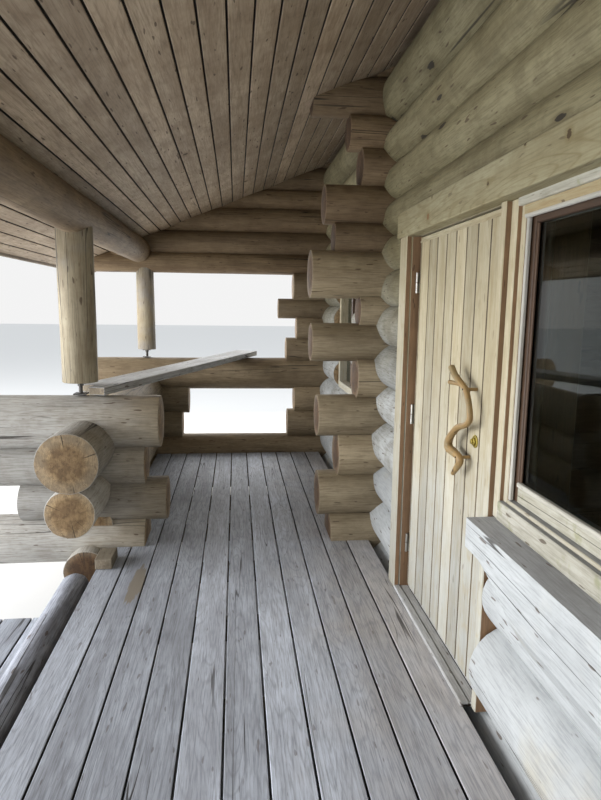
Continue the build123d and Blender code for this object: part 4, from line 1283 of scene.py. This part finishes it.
class CABIN_OT_door_frame(bpy.types.Operator):
    """Jambs, casings, header board and threshold, with red-brown sides"""
    bl_idname = "cabin.door_frame"
    bl_label = "Door frame"

    def execute(self, context):
        ease_width = sizes().board_bevel
        for node, seed in (("door_frame", 700), ("door_casings", 710), ("inner_doorway_lining", 720)):
            bm = new_shape()
            for i, points in enumerate(islands(node)):
                low, high = corners(points)
                verts = block(bm, low, high, seed + i, longest(low, high, (1, 2)), ease_width)
                if node != "inner_doorway_lining":
                    paint(verts, 1, lambda n: abs(n.y) > FACING)
            finish_piece(bm, node + "_planed", "cabin", ("pine", "stained"), (node,))
        low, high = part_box("header_board")
        bm = new_shape()
        block(bm, low, high, 730, 1, 0.004)
        finish_piece(bm, "header_board_planed", "cabin", ("header",), ("header_board",))
        low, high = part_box("threshold")
        bm = new_shape()
        lip = low.x + LEDGE
        block(bm, low, (lip, high.y, high.z), 740, 1, ease_width)
        block(bm, (lip + GROOVE, low.y, low.z), (lip + LEDGE_NEXT, high.y, high.z - GROOVE), 741, 1, ease_width)
        block(bm, (lip + LEDGE_NEXT + GROOVE, low.y, low.z), high, 742, 1, ease_width)
        # A dark bed under the ledges fills the floors of the grooves, as painted shade
        block(bm, (low.x + 0.01, low.y, low.z), (high.x - 0.01, high.y, high.z - BED_DOWN), 743, 1, None, 1)
        finish_piece(bm, "threshold_grooved", "cabin", ("plank", "dark_gap"), ("threshold",))
        return {"FINISHED"}


def wide_window_boards(width):
    """The wide window's frame with its head board, amber strip, pale beads and weathered sill."""
    points = islands("wide_window_frame")[0]
    low, high = corners(points)
    hole_low, hole_high = hole_of(points, 1)
    bm = new_shape()
    for verts in ring(bm, low, high, hole_low, hole_high, 1, 750, width):
        paint(verts, 1, lambda n: abs(n.y) > FACING)
        paint(verts, 5, lambda n: n.z > FACING)
    head_low = hole_high.z + HEAD_UP
    block(bm, (low.x - HEAD_OUT, low.y, head_low), (low.x + LET_IN, high.y, high.z), 760, 1, width, 4)
    block(bm, (low.x - STRIP_OUT, hole_low.y, hole_high.z), (low.x + LET_IN, hole_high.y, head_low), 761, 1, 0.001, 2)
    x, z = low.x + BEAD_IN, hole_high.z - BEAD_IN
    rod(bm, (x, hole_low.y, z), (x, hole_high.y, z), BEAD_R, 20, 0.001, 3)
    for y in (hole_low.y + 0.006, hole_high.y - 0.006):
        block(bm, (x, y - BEAD_WIDTH / 2, hole_low.z), (x + BEAD_WIDTH, y + BEAD_WIDTH / 2, hole_high.z), 762, 2,
              width, 3)
    sill = block(bm, (low.x - SILL_OUT, low.y, low.z), (low.x + BEAD_IN, high.y, hole_low.z - SILL_DOWN), 763, 1,
                 0.004, 4)
    paint(sill, 5, lambda n: n.z > FACING)
    finish_piece(bm, "wide_window_boards", "cabin",
                 ("pine", "stained", "amber", "bead", "sill", "shelf_top"), ("wide_window_frame",))


def wide_window_sash(width):
    """The brown sash with its pale bottom bar, glazing lip and side beads."""
    points = islands("wide_window_sash")[0]
    low, high = corners(points)
    hole_low, hole_high = hole_of(points, 1)
    hole_low.z += SASH_FOOT
    bm = new_shape()
    foot = ring(bm, low, high, hole_low, hole_high, 1, 770, width)[2]
    paint(foot, 3, lambda n: True)
    paint(foot, 1, lambda n: n.z > FACING)
    lip_top = hole_low.z + SASH_LIP
    block(bm, (low.x - 0.006, hole_low.y, hole_low.z - 0.004), (low.x + SASH_LIP, hole_high.y, lip_top), 775, 1,
          width, 2)
    for y0, y1 in ((hole_low.y, hole_low.y + SASH_LIP), (hole_high.y - SASH_LIP, hole_high.y)):
        block(bm, (low.x + BEAD_IN, y0, lip_top), (low.x + SASH_LIP, y1, hole_high.z), 776, 2, 0.002)
    finish_piece(bm, "wide_window_sash_moulded", "cabin", ("sash", "shelf_top", "bead", "sill"),
                 ("wide_window_sash",))


def small_windows(width):
    """The plain windows of the other walls, each with one upright bar."""
    bm = new_shape()
    for i, points in enumerate(islands("small_window_frames")):
        low, high = corners(points)
        across = longest(low, high, (1, 0))
        hole_low, hole_high = hole_of(points, across)
        ring(bm, low, high, hole_low, hole_high, across, 780 + 10 * i, 0.004)
        middle = (hole_low + hole_high) / 2
        for axis, half in ((across, 0.022), (1 - across, 0.03)):
            hole_low[axis], hole_high[axis] = middle[axis] - half, middle[axis] + half
        block(bm, hole_low, hole_high, 785 + 10 * i, 2, width, 1)
    finish_piece(bm, "small_window_frames_planed", "cabin", ("pine", "sash"),
                 ("small_window_frames",))


class CABIN_OT_windows(bpy.types.Operator):
    """The wide window with its boards, beads and brown sash, and the plain windows of the other walls"""
    bl_idname = "cabin.windows"
    bl_label = "Windows"

    def execute(self, context):
        for make in (wide_window_boards, wide_window_sash, small_windows):
            make(sizes().board_bevel)
        return {"FINISHED"}


class CABIN_OT_veranda_pieces(bpy.types.Operator):
    """Edge log, sill, plank, block, joists, floors and the boards along the roof's edges"""
    bl_idname = "cabin.veranda_pieces"
    bl_label = "Veranda pieces and floors"

    def execute(self, context):
        for node, (slot, look, bevel, seed) in SAWN_NODES.items():
            bm = grained(eased(node, bevel), seed)
            finish_piece(bm, node + "_grained", "cabin", (look, "grey_end"), (node,), smooth=32)
        bm = new_shape()
        for i, (along, line, height, radius, start, end) in enumerate(logs_of("edge_log")):
            lay_log(bm, along, line, height, radius, start, end, 890 + i)
        finish_piece(bm, "edge_log_round", "cabin", ("edge", "end"), ("edge_log",), ROUND)
        return {"FINISHED"}


class CABIN_OT_roof(bpy.types.Operator):
    """Strips of mineral felt that lap down both slopes"""
    bl_idname = "cabin.roof"
    bl_label = "Roof felt"

    def execute(self, context):
        low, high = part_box("roof_felt")
        middle_y = (low.y + high.y) / 2
        bm = new_shape()
        for slope, (point, normal) in slopes_of("roof_felt", 1).items():
            down, ridge, total = down_slope(slope, point, normal, low, high)
            count = math.ceil(total / FELT_STRIP)
            for i in range(count):
                start = ridge + down * max(i * total / count - FELT_LAP, 0) - normal * (FELT_SINK + FELT_TILT[0])
                end = ridge + down * (i + 1) * total / count - normal * (FELT_SINK - FELT_TILT[1])
                start.y = end.y = middle_y
                stick(bm, start, end, high.y - low.y, FELT_THICK, normal, 900 + i, 0.002)
        finish_piece(bm, "roof_felt_strips", "cabin", ("roof_felt",), ("roof_felt",))
        return {"FINISHED"}


class CABIN_OT_finishes(bpy.types.Operator):
    """Materials of the frame's own pieces"""
    bl_idname = "cabin.finishes"
    bl_label = "Finishes"

    def execute(self, context):
        for node, key in FINISHES.items():
            piece = NODES[node]
            piece.data.materials.clear()
            piece.data.materials.append(MADE[key])
        return {"FINISHED"}


class CABIN_PT_panel(bpy.types.Panel):
    """The cabin's pieces, in the order that they are made"""
    bl_idname = "CABIN_PT_panel"
    bl_label = "Log cabin"
    bl_space_type = "VIEW_3D"
    bl_region_type = "UI"
    bl_category = "Log cabin"

    def draw(self, context):
        for operator in OPERATORS:
            self.layout.operator(operator.bl_idname)
        for group in (context.scene.cabin_sizes, context.scene.cabin_colours):
            for key in group.__annotations__:
                self.layout.prop(group, key)


OPERATORS = [CABIN_OT_stage, CABIN_OT_logs, CABIN_OT_shelf_log, CABIN_OT_soffit, CABIN_OT_deck, CABIN_OT_posts,
             CABIN_OT_door, CABIN_OT_door_frame, CABIN_OT_windows, CABIN_OT_veranda_pieces, CABIN_OT_roof,
             CABIN_OT_finishes]
CLASSES = [CabinColours, CabinSizes, *OPERATORS, CABIN_PT_panel]


def register():
    for cls in CLASSES:
        bpy.utils.register_class(cls)
    bpy.types.Scene.cabin_colours = bpy.props.PointerProperty(type=CabinColours)
    bpy.types.Scene.cabin_sizes = bpy.props.PointerProperty(type=CabinSizes)


def unregister():
    del bpy.types.Scene.cabin_sizes
    del bpy.types.Scene.cabin_colours
    for cls in reversed(CLASSES):
        bpy.utils.unregister_class(cls)


def main():
    register()
    make_materials()
    for operator in OPERATORS:
        getattr(bpy.ops.cabin, operator.bl_idname.split(".")[1])()


if __name__ == "__main__":
    main()
